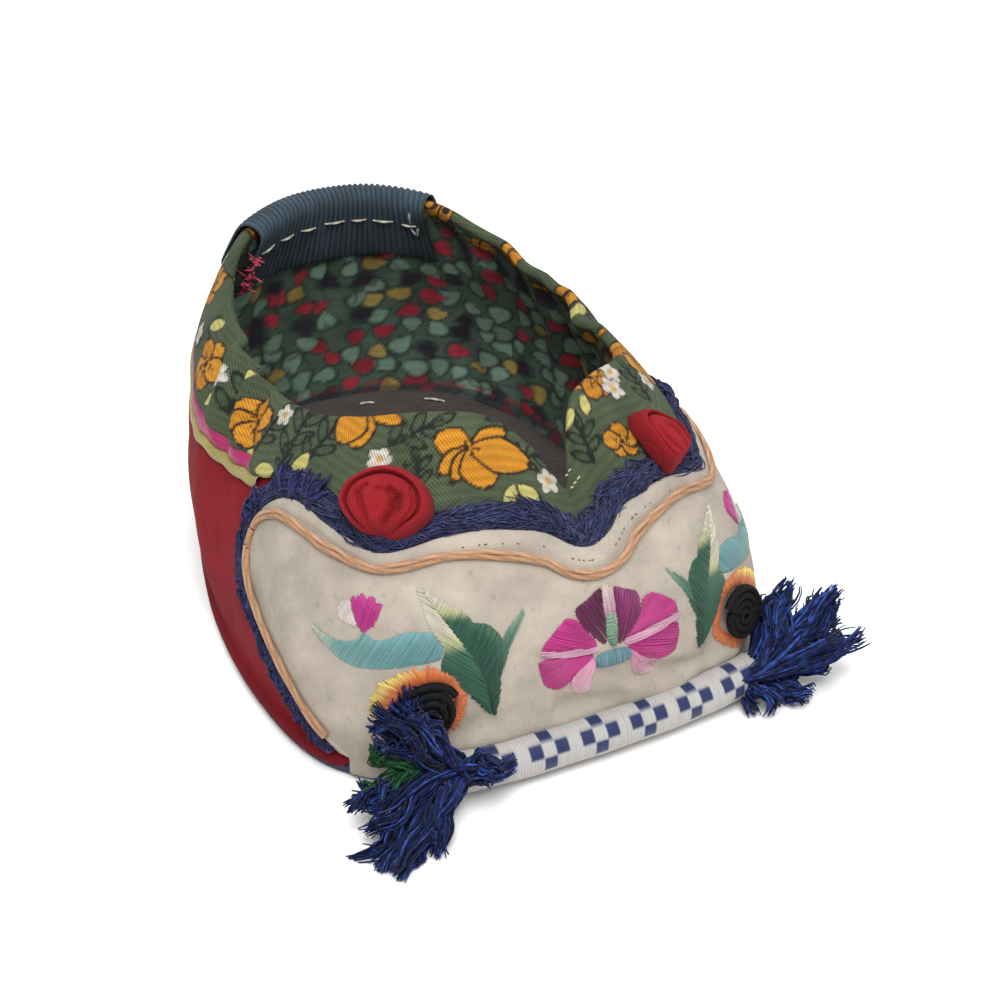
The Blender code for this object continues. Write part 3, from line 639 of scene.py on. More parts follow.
for _ in range(STEMS):
    spot_a, spot_h = SEED.uniform(-140, 140), SEED.uniform(6, 64)
    bend, ring = SEED.uniform(0, 6.3), SEED.uniform(3, 6)
    x, y = flat_a - spot_a, flat_h - spot_h
    far = np.hypot(x, y)
    arc = np.exp(-((far - ring) / 0.3) ** 2) * (np.cos(np.arctan2(y, x) - bend) > 0.55)
    spread_dye(dye, 0.6 * arc, "#212c28")
above = height - insole_top(points[..., 1])
broken = 0.75 * (np.sin(wide * 1.1 + 2 * np.sin(wide * 0.37)) > -0.2)
shadow = 0.7 - 0.7 * smooth(0.3, 0.9, above)
hem = np.exp(-((above - 1.0) / 0.35) ** 2) * broken
spread_dye(dye, shadow.ravel(), "#332f38")
spread_dye(dye, hem.ravel(), "#8a2436")
make_piece("lining", points, grid_faces(rows, columns)[:, ::-1], lining_cotton,
           np.stack([wide, height], -1), dye)

# %% [markdown]
# ## The printed collar
# A green twill with orange flowers, small white blossoms, yellow buds and dark leaf sprays. It runs
# round the top, splits in a V at the toe and turns in over the rim. The motifs are drawn as shapes in
# the plane that touches the cloth at their middle, at places read off the shoe, so they keep their true
# form on the curved wall.

# %% Collar form
COLLAR_ROWS = 44
COLLAR_OUT = 1.25  # how far the collar stands off the upper, and again on its inner side
CLOTH_LEAN = 1.15  # the wall leans, so the cloth is this much longer than it is high
# Columns: along, height of the collar's lower edge
COLLAR_EDGE = np.array((
    (0.0, 38.4), (6.0, 39.4), (13.0, 41.4), (23.0, 43.6), (32.0, 43.4), (40.0, 42.0), (46.0, 42.6),
    (53.0, 43.6), (62.0, 43.0), (70.0, 40.4), (78.0, 38.6), (95.0, 36.8), (112.0, 36.4), (128.0, 40.0),
    (142.0, 46.5), (154.0, 52.0), (180.0, 53.5),
))


def collar_edge(along):
    return cubic_table(COLLAR_EDGE[:, 0], COLLAR_EDGE[:, 1:], np.abs(along))[..., 0]


columns = 1040
along = np.linspace(-HALF, HALF, columns)
low = collar_edge(along) - 2.4 * (1 - smooth(74, 80, np.abs(along)))
top = rim_height(along)
share = np.linspace(0, 1, COLLAR_ROWS)[:, None]
height = low + (top - low) * share
wide = np.broadcast_to(along, height.shape)
outer = COLLAR_OUT - 0.25 * smooth(0.6, 1.0, share) - 0.5 * (1 - smooth(0.0, 0.05, share))
body = wall(wide, height, np.broadcast_to(outer, height.shape))
rim_point, rim_normal, rim_up = frame_at(along, top)
swell = crease(along, top)[:, None]
turned = []
for angle in np.linspace(0, math.pi, 8)[1:]:
    reach = -0.1 + 1.1 * math.cos(angle)
    turned.append(rim_point + rim_normal * (reach + swell) + rim_up * 0.75 * math.sin(angle))
for down in np.linspace(0.6, 3.4, 6):
    turned.append(wall(along, top - down * rim_up[:, 2], np.full(columns, -COLLAR_OUT - 0.06 * down)))
points = np.concatenate([body, np.array(turned)])
rows = len(points)
turned_up = (top - low) * CLOTH_LEAN + np.linspace(0.4, 6, len(turned))[:, None]
cloth_up = np.concatenate([(height - low) * CLOTH_LEAN, turned_up])

# %% [markdown]
# ### Motifs of the print
# Each motif is a function that lays colour over the dye where a flat shape covers it: first a dark, larger
# shape as outline, then the fill. The collar's points stand about 0.3 mm apart, so drawn edges stay clean.

# %% Motifs of the print


def on_spot(points, along, height, turn):
    """Flat coordinates of points about one place on the wall."""
    centre, normal, up = frame_at(along, height)
    across = np.cross(up, normal)
    step = points - (centre + normal)
    near = np.abs(step @ normal) < 7
    return *turn_flat(step @ across, step @ up, math.radians(turn)), near


def draw_flower(dye, x, y, near, size):
    """Orange flower: uneven notched petals laid one over another, dark outlines and a dark dotted heart."""
    petals = int(SEED.integers(5, 7))
    first = SEED.uniform(0, 2 * math.pi)
    for i in range(petals):
        lean = first + (i + SEED.uniform(-0.14, 0.14)) * 2 * math.pi / petals
        long = size * SEED.uniform(0.86, 1.12)
        wide = size * SEED.uniform(0.36, 0.46)
        u, v = turn_flat(x, y, lean)
        u, v = u / long, v / wide
        reach = np.clip(u, 0, 1.3)
        swell = np.sqrt(np.clip(reach * 2.3, 0, 1)) * np.clip(1.04 - reach ** 5, 0.0, 1)
        tip = 1.0 - 0.10 * np.exp(-(v / 0.28) ** 2)
        inside = np.minimum(swell - np.abs(v), (tip - u) * 2.0)
        edge = 0.5 / wide
        spread_dye(dye, near * (u > 0.02) * smooth(-edge, -0.6 * edge, inside), "#231d14")
        spread_dye(dye, near * (u > 0.02) * smooth(0.0, 0.4 * edge, inside), "#b6781d" if i % 2 else "#c18526")
        vein = (np.abs(v) < 0.10) & (u > 0.22) & (u < 0.5)
        spread_dye(dye, near * vein * 0.75, "#4a3212")
    far = np.hypot(x, y)
    turn = np.arctan2(y, x)
    spread_dye(dye, near * (1 - smooth(0.10, 0.16, far / size)), "#3a2412")
    dots = (np.abs(far - 0.27 * size) < 0.3) & (np.sin(turn * petals * 2) > 0.35)
    spread_dye(dye, near * dots * 0.9, "#2a1c10")


# Columns: angle, long, half_wide
OPEN_FLOWER = ((34, 7.0, 1.7), (162, 6.2, 2.7), (-138, 6.8, 1.7), (-116, 6.4, 1.4), (-66, 7.4, 3.2),
               (-10, 10.2, 3.0))
HEART_FLOWER = ((-10, 7.6, 1.4), (-80, 7.6, 2.6), (-106, 7.2, 2.8))


def draw_petals(dye, x, y, near, petals):
    """A flower seen from the side, its petals listed one by one."""
    for angle, long, wide in petals:
        u, v = turn_flat(x, y, math.radians(angle))
        u, v = u / long, v / wide
        reach = np.clip(u, 0, 1.3)
        swell = np.clip(reach * 2.4, 0, 1) ** 0.6 * np.clip(1.04 - reach ** 4, 0.0, 1)
        inside = np.minimum(swell - np.abs(v), (1.0 - 0.08 * np.exp(-(v / 0.3) ** 2) - u) * 2.0)
        edge = 0.62 / wide
        spread_dye(dye, near * (u > 0.0) * smooth(-edge, -0.6 * edge, inside), "#221c14")
        spread_dye(dye, near * (u > 0.0) * smooth(-0.1 * edge, 0.2 * edge, inside), "#bd7e1d")
    far = np.hypot(x, y)
    turn = np.arctan2(y, x)
    spread_dye(dye, near * (far < 1.5) * (np.sin(turn * 5 + far * 2) > 0.2) * 0.9, "#33220f")


def draw_open_flower(dye, x, y, near, size):
    draw_petals(dye, x, y, near, OPEN_FLOWER)


def draw_heart_flower(dye, x, y, near, size):
    draw_petals(dye, x, y, near, HEART_FLOWER)


def draw_blossom(dye, x, y, near, size):
    """Small white blossom with a beige heart."""
    far = np.hypot(x, y)
    turn = np.arctan2(y, x)
    reach = size * (0.62 + 0.38 * np.abs(np.cos(2.5 * turn)))
    spread_dye(dye, near * (1 - smooth(reach + 0.12, reach + 0.34, far)) * 0.75, "#1d221c")
    spread_dye(dye, near * (1 - smooth(reach - 0.15, reach + 0.05, far)), "#c0bbae")
    spread_dye(dye, near * (1 - smooth(0.22, 0.38, far / size)), "#b99a5e")


def draw_bud(dye, x, y, near, size):
    """Pale yellow bud, a pointed oval with a dark outline."""
    width = 0.52 * size * np.clip(1 - (x / size) ** 2, 0, 1) ** 0.75
    inside = near & (np.abs(x) < size)
    spread_dye(dye, inside * (1 - smooth(width + 0.1, width + 0.4, np.abs(y))), "#20261e")
    spread_dye(dye, inside * (1 - smooth(width - 0.15, width + 0.05, np.abs(y))), "#b7b06a")


def draw_spray(dye, x, y, near, size):
    """Leaf spray drawn in dark line: a stem and five open leaves."""
    stem = near & (np.abs(y - 0.12 * size * np.sin(x / size * 2)) < 0.28) & (np.abs(x) < size)
    spread_dye(dye, stem * 0.95, "#161b16")
    # Columns: shift along the stem, lift off it, lean
    leaves = ((-0.6, 0.3, 50), (-0.2, -0.3, -45), (0.2, 0.32, 45), (0.5, -0.28, -40), (0.95, 0.1, 10))
    for shift, lift, lean in leaves:
        u, v = turn_flat(x - shift * size, y - lift * size, math.radians(lean))
        leaf = (u / (0.42 * size)) ** 2 + (v / (0.17 * size)) ** 2
        spread_dye(dye, near * (np.abs(np.sqrt(leaf) - 1) * 0.22 * size < 0.26) * 0.95, "#161b16")
        spread_dye(dye, near * (leaf < 0.8) * 0.35, "#2c3b2c")


# One group to a kind of motif, painted in this order. Columns: along, height, turn, size
MOTIFS = (
    (draw_spray, (
        (-63.7, 46.2, 75, 5.5), (-38.0, 49.5, 30, 5.0), (-65.0, 40.7, 95, 3.0), (17.5, 46.0, 70, 4.0),
        (-92.0, 44.0, 80, 4.5), (-120.0, 44.0, 50, 4.5), (-14.0, 45.5, 10, 4.0), (-55.5, 46.5, 60, 5.0),
        (-20.5, 51.0, 150, 3.5), (-36.5, 45.2, 100, 3.4), (-73.5, 43.5, 60, 4.4), (45.0, 47.5, 60, 4.5),
        (66.0, 44.5, 100, 4.5), (90.0, 43.0, 70, 4.5), (118.0, 43.0, 110, 4.5), (139.0, 51.5, 40, 3.5),
    )),
    (draw_heart_flower, (
        (-48.6, 51.4, 0, 6.0),
    )),
    (draw_open_flower, (
        (-28.0, 48.0, 0, 7.4),
    )),
    (draw_flower, (
        (-80.3, 43.0, 70, 5.2), (-132.9, 48.6, 20, 4.8), (-110.3, 42.2, 50, 5.4), (27.0, 44.8, 10, 3.8),
        (34.0, 51.8, 60, 5.2), (58.0, 47.0, 30, 6.4), (80.0, 42.5, 15, 6.0), (105.0, 43.5, 45, 6.2),
        (130.0, 47.5, 70, 5.4), (152.0, 55.0, 10, 4.6), (-152.0, 55.0, 30, 4.6), (142.0, 56.0, 10, 3.8),
        (118.0, 50.5, 30, 3.4), (93.0, 49.0, 20, 3.2), (73.0, 50.0, 50, 3.0),
    )),
    (draw_blossom, (
        (-42.8, 46.2, 0, 2.2), (-9.3, 42.2, 20, 2.4), (37.0, 49.4, 10, 2.6), (41.0, 50.5, 40, 2.3),
        (-98.0, 44.0, 0, 2.4), (-70.5, 46.5, 30, 2.0), (71.0, 43.0, 0, 2.5), (97.0, 39.5, 15, 2.5),
        (122.0, 41.5, 5, 2.4), (-125.0, 42.5, 25, 2.4), (49.0, 46.0, 12, 2.2), (-141.0, 51.0, 8, 2.2),
    )),
    (draw_bud, (
        (-70.3, 38.9, 8, 2.6), (-59.8, 42.0, 65, 3.1), (-78.6, 38.8, 20, 1.9), (-20.2, 42.2, 70, 2.1),
        (-15.9, 41.9, -35, 2.2), (25.0, 50.0, 50, 2.0), (16.0, 48.6, 20, 2.6), (63.0, 42.0, 40, 2.6),
        (88.0, 47.0, -30, 2.4), (112.0, 39.0, 30, 2.6), (-103.0, 39.5, 60, 2.4), (-115.0, 47.5, 30, 2.4),
        (-88.0, 47.0, 20, 2.2), (74.0, 47.0, 15, 2.3), (141.0, 47.5, 70, 2.2),
    )),
)
flat_points = points.reshape(-1, 3)
dye = np.tile(linear("#46513a"), (len(flat_points), 1))
dye *= 1 + 0.12 * np.sin(flat_points[:, :1] * 0.31) * np.cos(flat_points[:, 1:2] * 0.27)
for draw, places in MOTIFS:
    for spot_a, spot_h, turn, size in places:
        x, y, near = on_spot(flat_points, spot_a, spot_h, turn)
        draw(dye, x, y, near & (np.hypot(x, y) < 2.2 * size), size)
make_piece("collar_cloth", points, grid_faces(rows, columns), printed_twill,
           np.stack([np.broadcast_to(along, cloth_up.shape), cloth_up], -1), dye, ("collar",))
print("motifs", sum(len(places) for _, places in MOTIFS))

# %% [markdown]
# ## The face panel
# The cream panel carries the face. Its top edge is cut in waves and turned under, which leaves a soft
# ridge. Ribs from the foot line to the edge make the mesh, the same way as the solid.

# %% Face panel
PANEL_FACE = 1.62
# Columns: along, height of the panel's edge, from the middle of its top to its foot
PANEL_OUTLINE = np.array((
    (0.0, 33.4), (6.0, 34.2), (13.0, 36.8), (23.0, 38.6), (32.0, 38.2), (40.0, 35.8), (46.0, 37.0),
    (53.0, 38.4), (61.0, 37.6), (67.5, 33.6), (69.0, 28.5), (67.0, 23.5), (61.5, 19.5), (54.0, 14.5),
    (48.5, 9.5), (44.0, 5.4),
))
EDGE = np.concatenate([PANEL_OUTLINE[:0:-1], PANEL_OUTLINE * np.array([-1.0, 1.0])])
EDGE_KNOTS = knots_along(EDGE)


def panel_edge(at, reach=0.5):
    """Points on the panel's edge and steps out of it; at runs over the top from 0 at one foot to 1."""
    at = at * EDGE_KNOTS[-1]
    ahead = cubic_table(EDGE_KNOTS, EDGE, np.clip(at + reach, 0, EDGE_KNOTS[-1]))
    tangent = ahead - cubic_table(EDGE_KNOTS, EDGE, np.clip(at - reach, 0, EDGE_KNOTS[-1]))
    tangent /= np.linalg.norm(tangent, axis=-1, keepdims=True)
    return cubic_table(EDGE_KNOTS, EDGE, at), np.stack([tangent[..., 1], -tangent[..., 0]], -1)


columns = 320
rows = 76
edge_spot, outward = panel_edge(np.linspace(0, 1, columns))
foot_spot = np.column_stack([np.linspace(42.5, -42.5, columns), np.full(columns, FOOT_Z + 0.7)])
share = np.linspace(0, 1, rows)[:, None, None]
spot = foot_spot[None] * (1 - share) + edge_spot[None] * share
to_edge = np.linalg.norm(edge_spot[None] - spot, axis=2)
hem = 0.28 * (1 - smooth(1.8, 2.8, to_edge))
offset = PANEL_FACE - 0.1 + hem
points = []
foot, flat = foot_line(foot_spot[:, 0])
for out, z in ((0.9, 1.0), (1.5, 1.1), (1.85, 1.8), (1.9, 2.8), (1.8, 4.0)):
    points.append(np.column_stack([foot[:, :2] + flat * out, np.full(columns, z)]))
points += list(wall(spot[..., 0], spot[..., 1], offset))
for reach, drop in ((0.12, 1.62), (0.22, 1.4), (0.28, 1.0), (0.3, 0.35)):
    over = edge_spot + outward * reach
    points.append(wall(over[:, 0], over[:, 1], np.full(columns, drop)))
points = np.array(points)
low_spot = [np.column_stack([foot_spot[:, 0], np.full(columns, z)]) for z in (0.8, 1.2, 1.8, 2.8, 4.0)]
cloth = np.concatenate([np.array(low_spot), spot, np.repeat(edge_spot[None], 4, axis=0)])
dye = np.broadcast_to(linear("#a1988c"), points.shape)
# Darker near the foot and towards the panel's sides, with soft clouds.
uneven_darkening = 0.10 * (1 - smooth(5, 12, cloth[..., 1])) + 0.08 * smooth(40, 60, np.abs(cloth[..., 0]))
clouds = np.sin(cloth[..., 0] * 0.23 + 1.3 * np.sin(cloth[..., 1] * 0.31))
uneven_darkening = uneven_darkening + 0.05 * clouds * np.cos(cloth[..., 1] * 0.19)
specks = SEED.random(cloth.shape[:2]) > 0.994
dye = dye * (1 - uneven_darkening[..., None]) * (1 - 0.22 * specks[..., None])
make_piece("face_panel", points, grid_faces(points.shape[0], columns)[:, ::-1], cream_cotton, cloth, dye,
           ("vamp_panel",))

# %% [markdown]
# ## Satin stitch
# Each embroidered shape is filled with straight threads laid side by side. A shape is an outline on the
# wall and a stitch direction: scan lines across the outline give one thread each, which rises out of the
# cloth, runs over and dives back in. The ragged ends of real stitches come from a small random step.
# The outline's corners are cut twice first, so that a few charted points give a soft curve.

# %% Satin stitch maker
THREAD = 0.33
STITCH_STEPS = 7
STITCH_BASE = PANEL_FACE - 0.02
FLOSS_LIGHT = 0.72  # the charted colours are as the lamps show them, and the dye itself is darker
thread_points, thread_faces, thread_cloth, thread_dye = [], [], [], []


def lay_threads(starts, ends, colours, lift):
    """Threads between pairs of places on the wall; colours is (thread, step, 3)."""
    count = len(starts)
    steps = colours.shape[1]
    share = np.linspace(0, 1, steps)[None, :, None]
    middle = starts[:, None] * (1 - share) + ends[:, None] * share
    run = ends - starts
    length = np.linalg.norm(run, axis=1, keepdims=True) + 1e-6
    side = np.column_stack([-run[:, 1], run[:, 0]]) / length * THREAD * 0.62
    arch = np.sin(np.pi * np.linspace(0, 1, steps)) ** 0.35
    rows = []
    for across, rise in ((-1.0, 0.02), (-0.45, 0.8), (0.45, 0.8), (1.0, 0.02)):
        spot = middle + across * side[:, None]
        offset = STITCH_BASE + lift * rise * arch[None] + np.zeros((count, 1))
        rows.append(wall(spot[..., 0], spot[..., 1], offset))
    points = np.stack(rows, axis=2)
    one = grid_faces(steps, 4)
    first = sum(len(p) for p in thread_points)
    faces = (one[None] + (np.arange(count) * steps * 4)[:, None, None]).reshape(-1, 4) + first
    along = np.broadcast_to(share[..., 0] * length, (count, steps))
    turn = np.broadcast_to(np.linspace(0, 0.5, 4), (count, steps, 4))
    thread_points.append(points.reshape(-1, 3))
    thread_faces.append(faces)
    thread_cloth.append(np.stack([np.broadcast_to(along[..., None], turn.shape), turn], -1).reshape(-1, 2))
    thread_dye.append(np.repeat(FLOSS_LIGHT * colours[:, :, None], 4, axis=2).reshape(-1, 3))


def stops_dye(stops, by, spots):
    """Colour along a shape from (place, hex) stops, read by along (0) or height (1)."""
    places = [p for p, _ in stops]
    colours = np.array([linear(c) for _, c in stops])
    value = spots[..., by]
    return np.stack([np.interp(value, places, colours[:, i]) for i in range(3)], -1)


def satin(outline, angle, stops, by=1, mirror=False, lift=0.5, ragged=0.1):
    """Fill an outline with threads at an angle; the colour stops go by height, or by along where by is 0."""
    outline = np.array(outline, float)
    if mirror:
        outline = outline * np.array([-1.0, 1.0])
        angle = 180 - angle
        if by == 0:
            stops = tuple((-p, c) for p, c in reversed(stops))
    for _ in range(2):
        onward = np.roll(outline, -1, axis=0)
        cuts = [0.82 * outline + 0.18 * onward, 0.18 * outline + 0.82 * onward]
        outline = np.stack(cuts, axis=1).reshape(-1, 2)
    middle = outline.mean(axis=0)
    scale = stretch_at(*middle)
    flat = (outline - middle) * scale
    c, s = math.cos(math.radians(angle)), math.sin(math.radians(angle))
    turned = np.column_stack([c * flat[:, 0] + s * flat[:, 1], c * flat[:, 1] - s * flat[:, 0]])
    starts, ends = [], []
    for level in np.arange(turned[:, 1].min() + 0.15, turned[:, 1].max(), THREAD * 0.86):
        crossing = []
        for p, q in zip(turned, np.roll(turned, -1, axis=0)):
            if (p[1] <= level) != (q[1] <= level):
                crossing.append(p[0] + (level - p[1]) / (q[1] - p[1]) * (q[0] - p[0]))
        crossing.sort()
        for a, b in zip(crossing[::2], crossing[1::2]):
            if b - a > 0.5:
                starts.append((a - ragged * SEED.random(), level + 0.06 * SEED.standard_normal()))
                ends.append((b + ragged * SEED.random(), level + 0.06 * SEED.standard_normal()))
    starts, ends = np.array(starts), np.array(ends)
    back = np.array([[c, s], [-s, c]])
    starts = starts @ back / scale + middle
    ends = ends @ back / scale + middle
    share = np.linspace(0, 1, STITCH_STEPS)[None, :, None]
    spots = starts[:, None] * (1 - share) + ends[:, None] * share
    colours = stops_dye(stops, by, spots) * (1 + 0.06 * SEED.standard_normal((len(starts), 1, 1)))
    lay_threads(starts, ends, np.clip(colours, 0, 1), lift)


print("thread pitch mm", THREAD)

# %% [markdown]
# ## The flower, leaves, brows and buds
# The flower stands in the middle of the face; leaf, brow and bud are the same on both sides. Colours
# run from cream through green down each leaf because the stitcher changed floss on the way. The outlines
# are charted as places on the wall, along and height, because no two petals are alike.

# %% Embroidered shapes
MAGENTA = ((0.0, "#b8247c"),)
PALE = ((0.0, "#d09cb3"),)
PLUM = ((0.0, "#5c143f"),)
satin(((-2.9, 20.5), (-7.8, 25.3), (-9.9, 25.9), (-12.1, 24.4), (-14.2, 23.0), (-14.8, 22.0), (-9.2, 20.8)),
      158, MAGENTA)
satin(((-15.2, 20.5), (-14.8, 18.9), (-13.6, 16.3), (-11.1, 14.9), (-9.1, 15.6), (-7.6, 17.4), (-3.8, 19.6),
       (-9.2, 20.2)), 20, MAGENTA)
satin(((-4.4, 19.1), (-6.9, 18.0), (-8.7, 16.0), (-8.1, 14.0), (-6.1, 12.8), (-4.9, 13.5), (-4.4, 16.3),
       (-3.8, 17.8)), 65, ((12.0, "#e6c3cc"), (19.0, "#d98fb0")))
satin(((-1.8, 20.5), (-4.9, 22.5), (-7.8, 25.5), (-7.9, 26.9), (-5.3, 27.4), (-2.4, 28.3), (-0.9, 28.4),
       (-1.2, 25.6), (-1.3, 22.5)), 118, PLUM)
satin(((-0.9, 28.7), (2.7, 28.6), (2.2, 26.7), (1.3, 24.3), (-1.2, 24.3), (-1.1, 26.8)), 88,
      ((24.0, "#c98fae"), (28.5, "#ddcbc4")))
satin(((3.0, 28.3), (5.8, 27.5), (8.3, 26.9), (8.6, 25.6), (7.3, 23.3), (4.5, 21.4), (2.0, 20.1),
       (0.8, 20.4), (1.8, 23.0), (2.0, 26.0)), 62, ((20.0, "#5e1440"), (27.0, "#841b62")))
satin(((2.3, 20.5), (4.6, 21.7), (7.8, 24.0), (9.3, 25.5), (11.7, 25.9), (15.2, 24.6), (17.8, 22.9),
       (17.5, 21.4), (9.3, 20.9)), 24, MAGENTA)
satin(((3.2, 19.5), (9.1, 19.8), (17.0, 20.0), (16.7, 17.5), (14.9, 15.1), (10.9, 14.6), (7.1, 16.2),
       (4.0, 18.5)), -18, MAGENTA)
satin(((3.7, 18.8), (7.1, 16.3), (10.8, 14.9), (11.0, 13.0), (9.2, 11.9), (6.6, 12.3), (4.5, 14.4),
       (3.6, 17.2)), -55, ((13.0, "#dfb2c0"), (19.0, "#d07fa6")))
satin(((-15.0, 21.9), (-14.7, 20.8), (-9.2, 20.0), (-3.4, 19.7), (-3.4, 20.6), (-9.2, 21.1)),
      176, PALE, lift=0.6)
satin(((2.6, 19.6), (9.2, 19.7), (17.9, 20.2), (17.9, 21.6), (9.3, 21.0), (2.4, 20.6)), 2, PALE, lift=0.6)
satin(((0.3, 25.2), (1.3, 23.9), (1.4, 22.2), (0.6, 20.3), (-0.6, 20.2), (-1.5, 21.6), (-1.5, 23.4),
       (-0.6, 25.0)), 3, ((20.0, "#5f8a70"), (25.0, "#94b79c")), lift=0.8)
satin(((-3.9, 19.6), (3.5, 19.4), (3.5, 16.8), (-3.6, 16.6)), 88, ((16.0, "#5f8c98"), (20.0, "#749fa9")),
      lift=0.9, ragged=0.05)
SPINE = ((-35.2, 33.1), (-31.8, 29.0), (-28.9, 25.6), (-26.4, 22.8), (-23.6, 19.2), (-21.6, 12.1))
LEAF_LEFT = ((-34.1, 30.5), (-33.2, 28.1), (-32.1, 26.4), (-30.4, 24.5), (-31.1, 22.2), (-30.3, 20.1),
             (-28.1, 18.4), (-25.6, 16.7), (-23.2, 14.4))
LEAF_RIGHT = ((-33.3, 31.7), (-30.8, 30.3), (-29.3, 29.6), (-27.8, 28.7), (-26.8, 27.5), (-24.4, 27.4),
              (-22.4, 25.9), (-21.7, 24.5), (-21.6, 22.2), (-21.9, 20.8), (-21.2, 17.7), (-21.1, 14.4))
LEAF_GREENS = ((12.0, "#1c5039"), (20.0, "#1e543d"), (23.8, "#346850"), (25.2, "#c3c592"),
               (27.0, "#cdc6b4"), (33.0, "#cfc9bb"))
LEAF_DARKS = ((12.0, "#1a4737"), (22.0, "#1e513f"), (28.2, "#295d46"), (29.4, "#c3c592"), (30.6, "#cdc6b4"))
BROW = ((-50.2, 25.6), (-47.0, 24.3), (-44.2, 23.9), (-42.1, 24.3), (-41.0, 25.0), (-40.8, 26.0),
        (-40.0, 25.8), (-39.2, 25.2), (-37.8, 25.5), (-36.5, 26.2), (-35.5, 26.8), (-34.0, 26.8),
        (-32.6, 26.7), (-31.6, 25.6), (-30.8, 24.2), (-31.2, 23.1), (-33.0, 22.6), (-35.1, 22.3),
        (-37.1, 21.7), (-39.3, 21.4), (-41.3, 21.1), (-43.3, 21.5), (-45.4, 22.5), (-47.4, 23.8))
BUD = ((-40.6, 25.9), (-41.5, 27.0), (-42.2, 28.4), (-42.8, 30.4), (-42.0, 29.9), (-41.4, 30.9),
       (-40.7, 30.1), (-40.0, 30.8), (-39.4, 29.8), (-38.7, 30.2), (-38.9, 28.6), (-39.6, 27.0))
BUD_PALE = ((-41.3, 26.5), (-42.7, 26.7), (-44.0, 27.1), (-44.5, 28.0), (-44.0, 29.1), (-42.8, 29.8),
            (-42.5, 28.3))
LEAFLET = ((-21.8, 24.5), (-21.1, 25.9), (-19.6, 27.2), (-18.2, 28.6), (-18.4, 27.5), (-19.4, 25.6),
           (-20.4, 23.7), (-20.9, 21.4), (-21.6, 18.9), (-21.9, 21.5))
for mirror in (False, True):
    satin(BROW, 62, ((-49.5, "#c4c2b2"), (-46.5, "#a3b3a2"), (-43.5, "#719f9d"), (-30.0, "#65969a")),
          by=0, mirror=mirror)
    satin(BUD_PALE, 60, ((26.0, "#d3c4bf"), (30.0, "#cfc8bd")), mirror=mirror, lift=0.35)
    satin(BUD, 78, ((26.0, "#a81c74"), (31.0, "#c0328c")), mirror=mirror, ragged=0.18)
    satin(LEAFLET, 62, ((19.0, "#1e4d3c"), (24.0, "#497663"), (28.6, "#7f9b88")), mirror=mirror)
    satin(SPINE + tuple(reversed(LEAF_LEFT)), -32, LEAF_GREENS, mirror=mirror)
    satin(SPINE + tuple(reversed(LEAF_RIGHT)), 68, LEAF_DARKS, mirror=mirror)
print("threads so far", sum(len(p) for p in thread_points) // (4 * STITCH_STEPS))

# %% [markdown]
# ## The eyes
# Each eye is a coil of black cord sewn flat, inside a ring of orange satin stitch whose outer side ends
# in yellow. The coil is one tube along a spiral; the ring's stitches run outwards from it.

# %% Eyes
EYE_SPOT = np.array([32.0, 15.5])
COIL_STEPS = 190
SPOKES = 132


def disc_to_wall(side, x, y):
    """Places on the wall for flat coordinates about an eye."""
    middle = EYE_SPOT * np.array([side, 1.0])
    wide, tall = stretch_at(*middle)
    return middle[0] + side * np.asarray(x) / wide, middle[1] + np.asarray(y) / tall


for side, word in SIDES:
    turn = np.linspace(0.0, 2 * math.pi * 3.4, COIL_STEPS)
    reach = 0.3 + turn / (2 * math.pi) * 1.22
    a, h = disc_to_wall(side, reach * np.cos(turn), reach * np.sin(turn))
    dome = 1.5 * np.sqrt(np.clip(1 - (reach / 6.4) ** 2, 0, 1))
    coil = wall(a, h, PANEL_FACE + 0.45 + dome)[None]
    strand_piece("eye_coil_" + word, coil, 0.7, 8, black_cord, linear("#040305")[None], ("eye_" + word,))
    spoke = np.linspace(0, 2 * math.pi, SPOKES, endpoint=False)
    edge = 7.4 + 0.9 * np.cos(spoke) + 0.25 * SEED.standard_normal(SPOKES)
    inner = np.stack(disc_to_wall(side, 4.2 * np.cos(spoke), 4.2 * np.sin(spoke)), -1)
    outer = np.stack(disc_to_wall(side, edge * np.cos(spoke), edge * 0.86 * np.sin(spoke)), -1)
    inner[:, 1] = np.maximum(inner[:, 1], 6.0)
    outer[:, 1] = np.maximum(outer[:, 1], 5.6)
    share = np.linspace(0, 1, STITCH_STEPS)[None, :, None]
    yellow = smooth(0.1, 0.8, np.cos(spoke))[:, None, None] * smooth(0.45, 0.8, share)
    ring_dye = linear("#dd6f38") * (1 - share * 0.3) + linear("#e79a5a") * share * 0.3
    ring_dye = ring_dye * (1 - yellow) + linear("#e8cf6a") * yellow
    ring_dye = ring_dye * (1 + 0.1 * SEED.standard_normal((SPOKES, 1, 1)))
    lay_threads(inner, outer, np.clip(ring_dye, 0, 1), 0.5)
make_piece("embroidery", np.concatenate(thread_points), np.concatenate(thread_faces), floss,
           np.concatenate(thread_cloth), np.concatenate(thread_dye))

# %% [markdown]
# ## Couched cord
# A peach cord of two strands is sewn down flat inside the panel's edge, about two to three millimetres in
# along the top and close to the edge down the sides. Two tubes lying side by side make it, with the fine
# slant of their twist as relief.

# %% Couched cord
steps = 900
spot, outward = panel_edge(np.linspace(0.014, 0.986, steps))
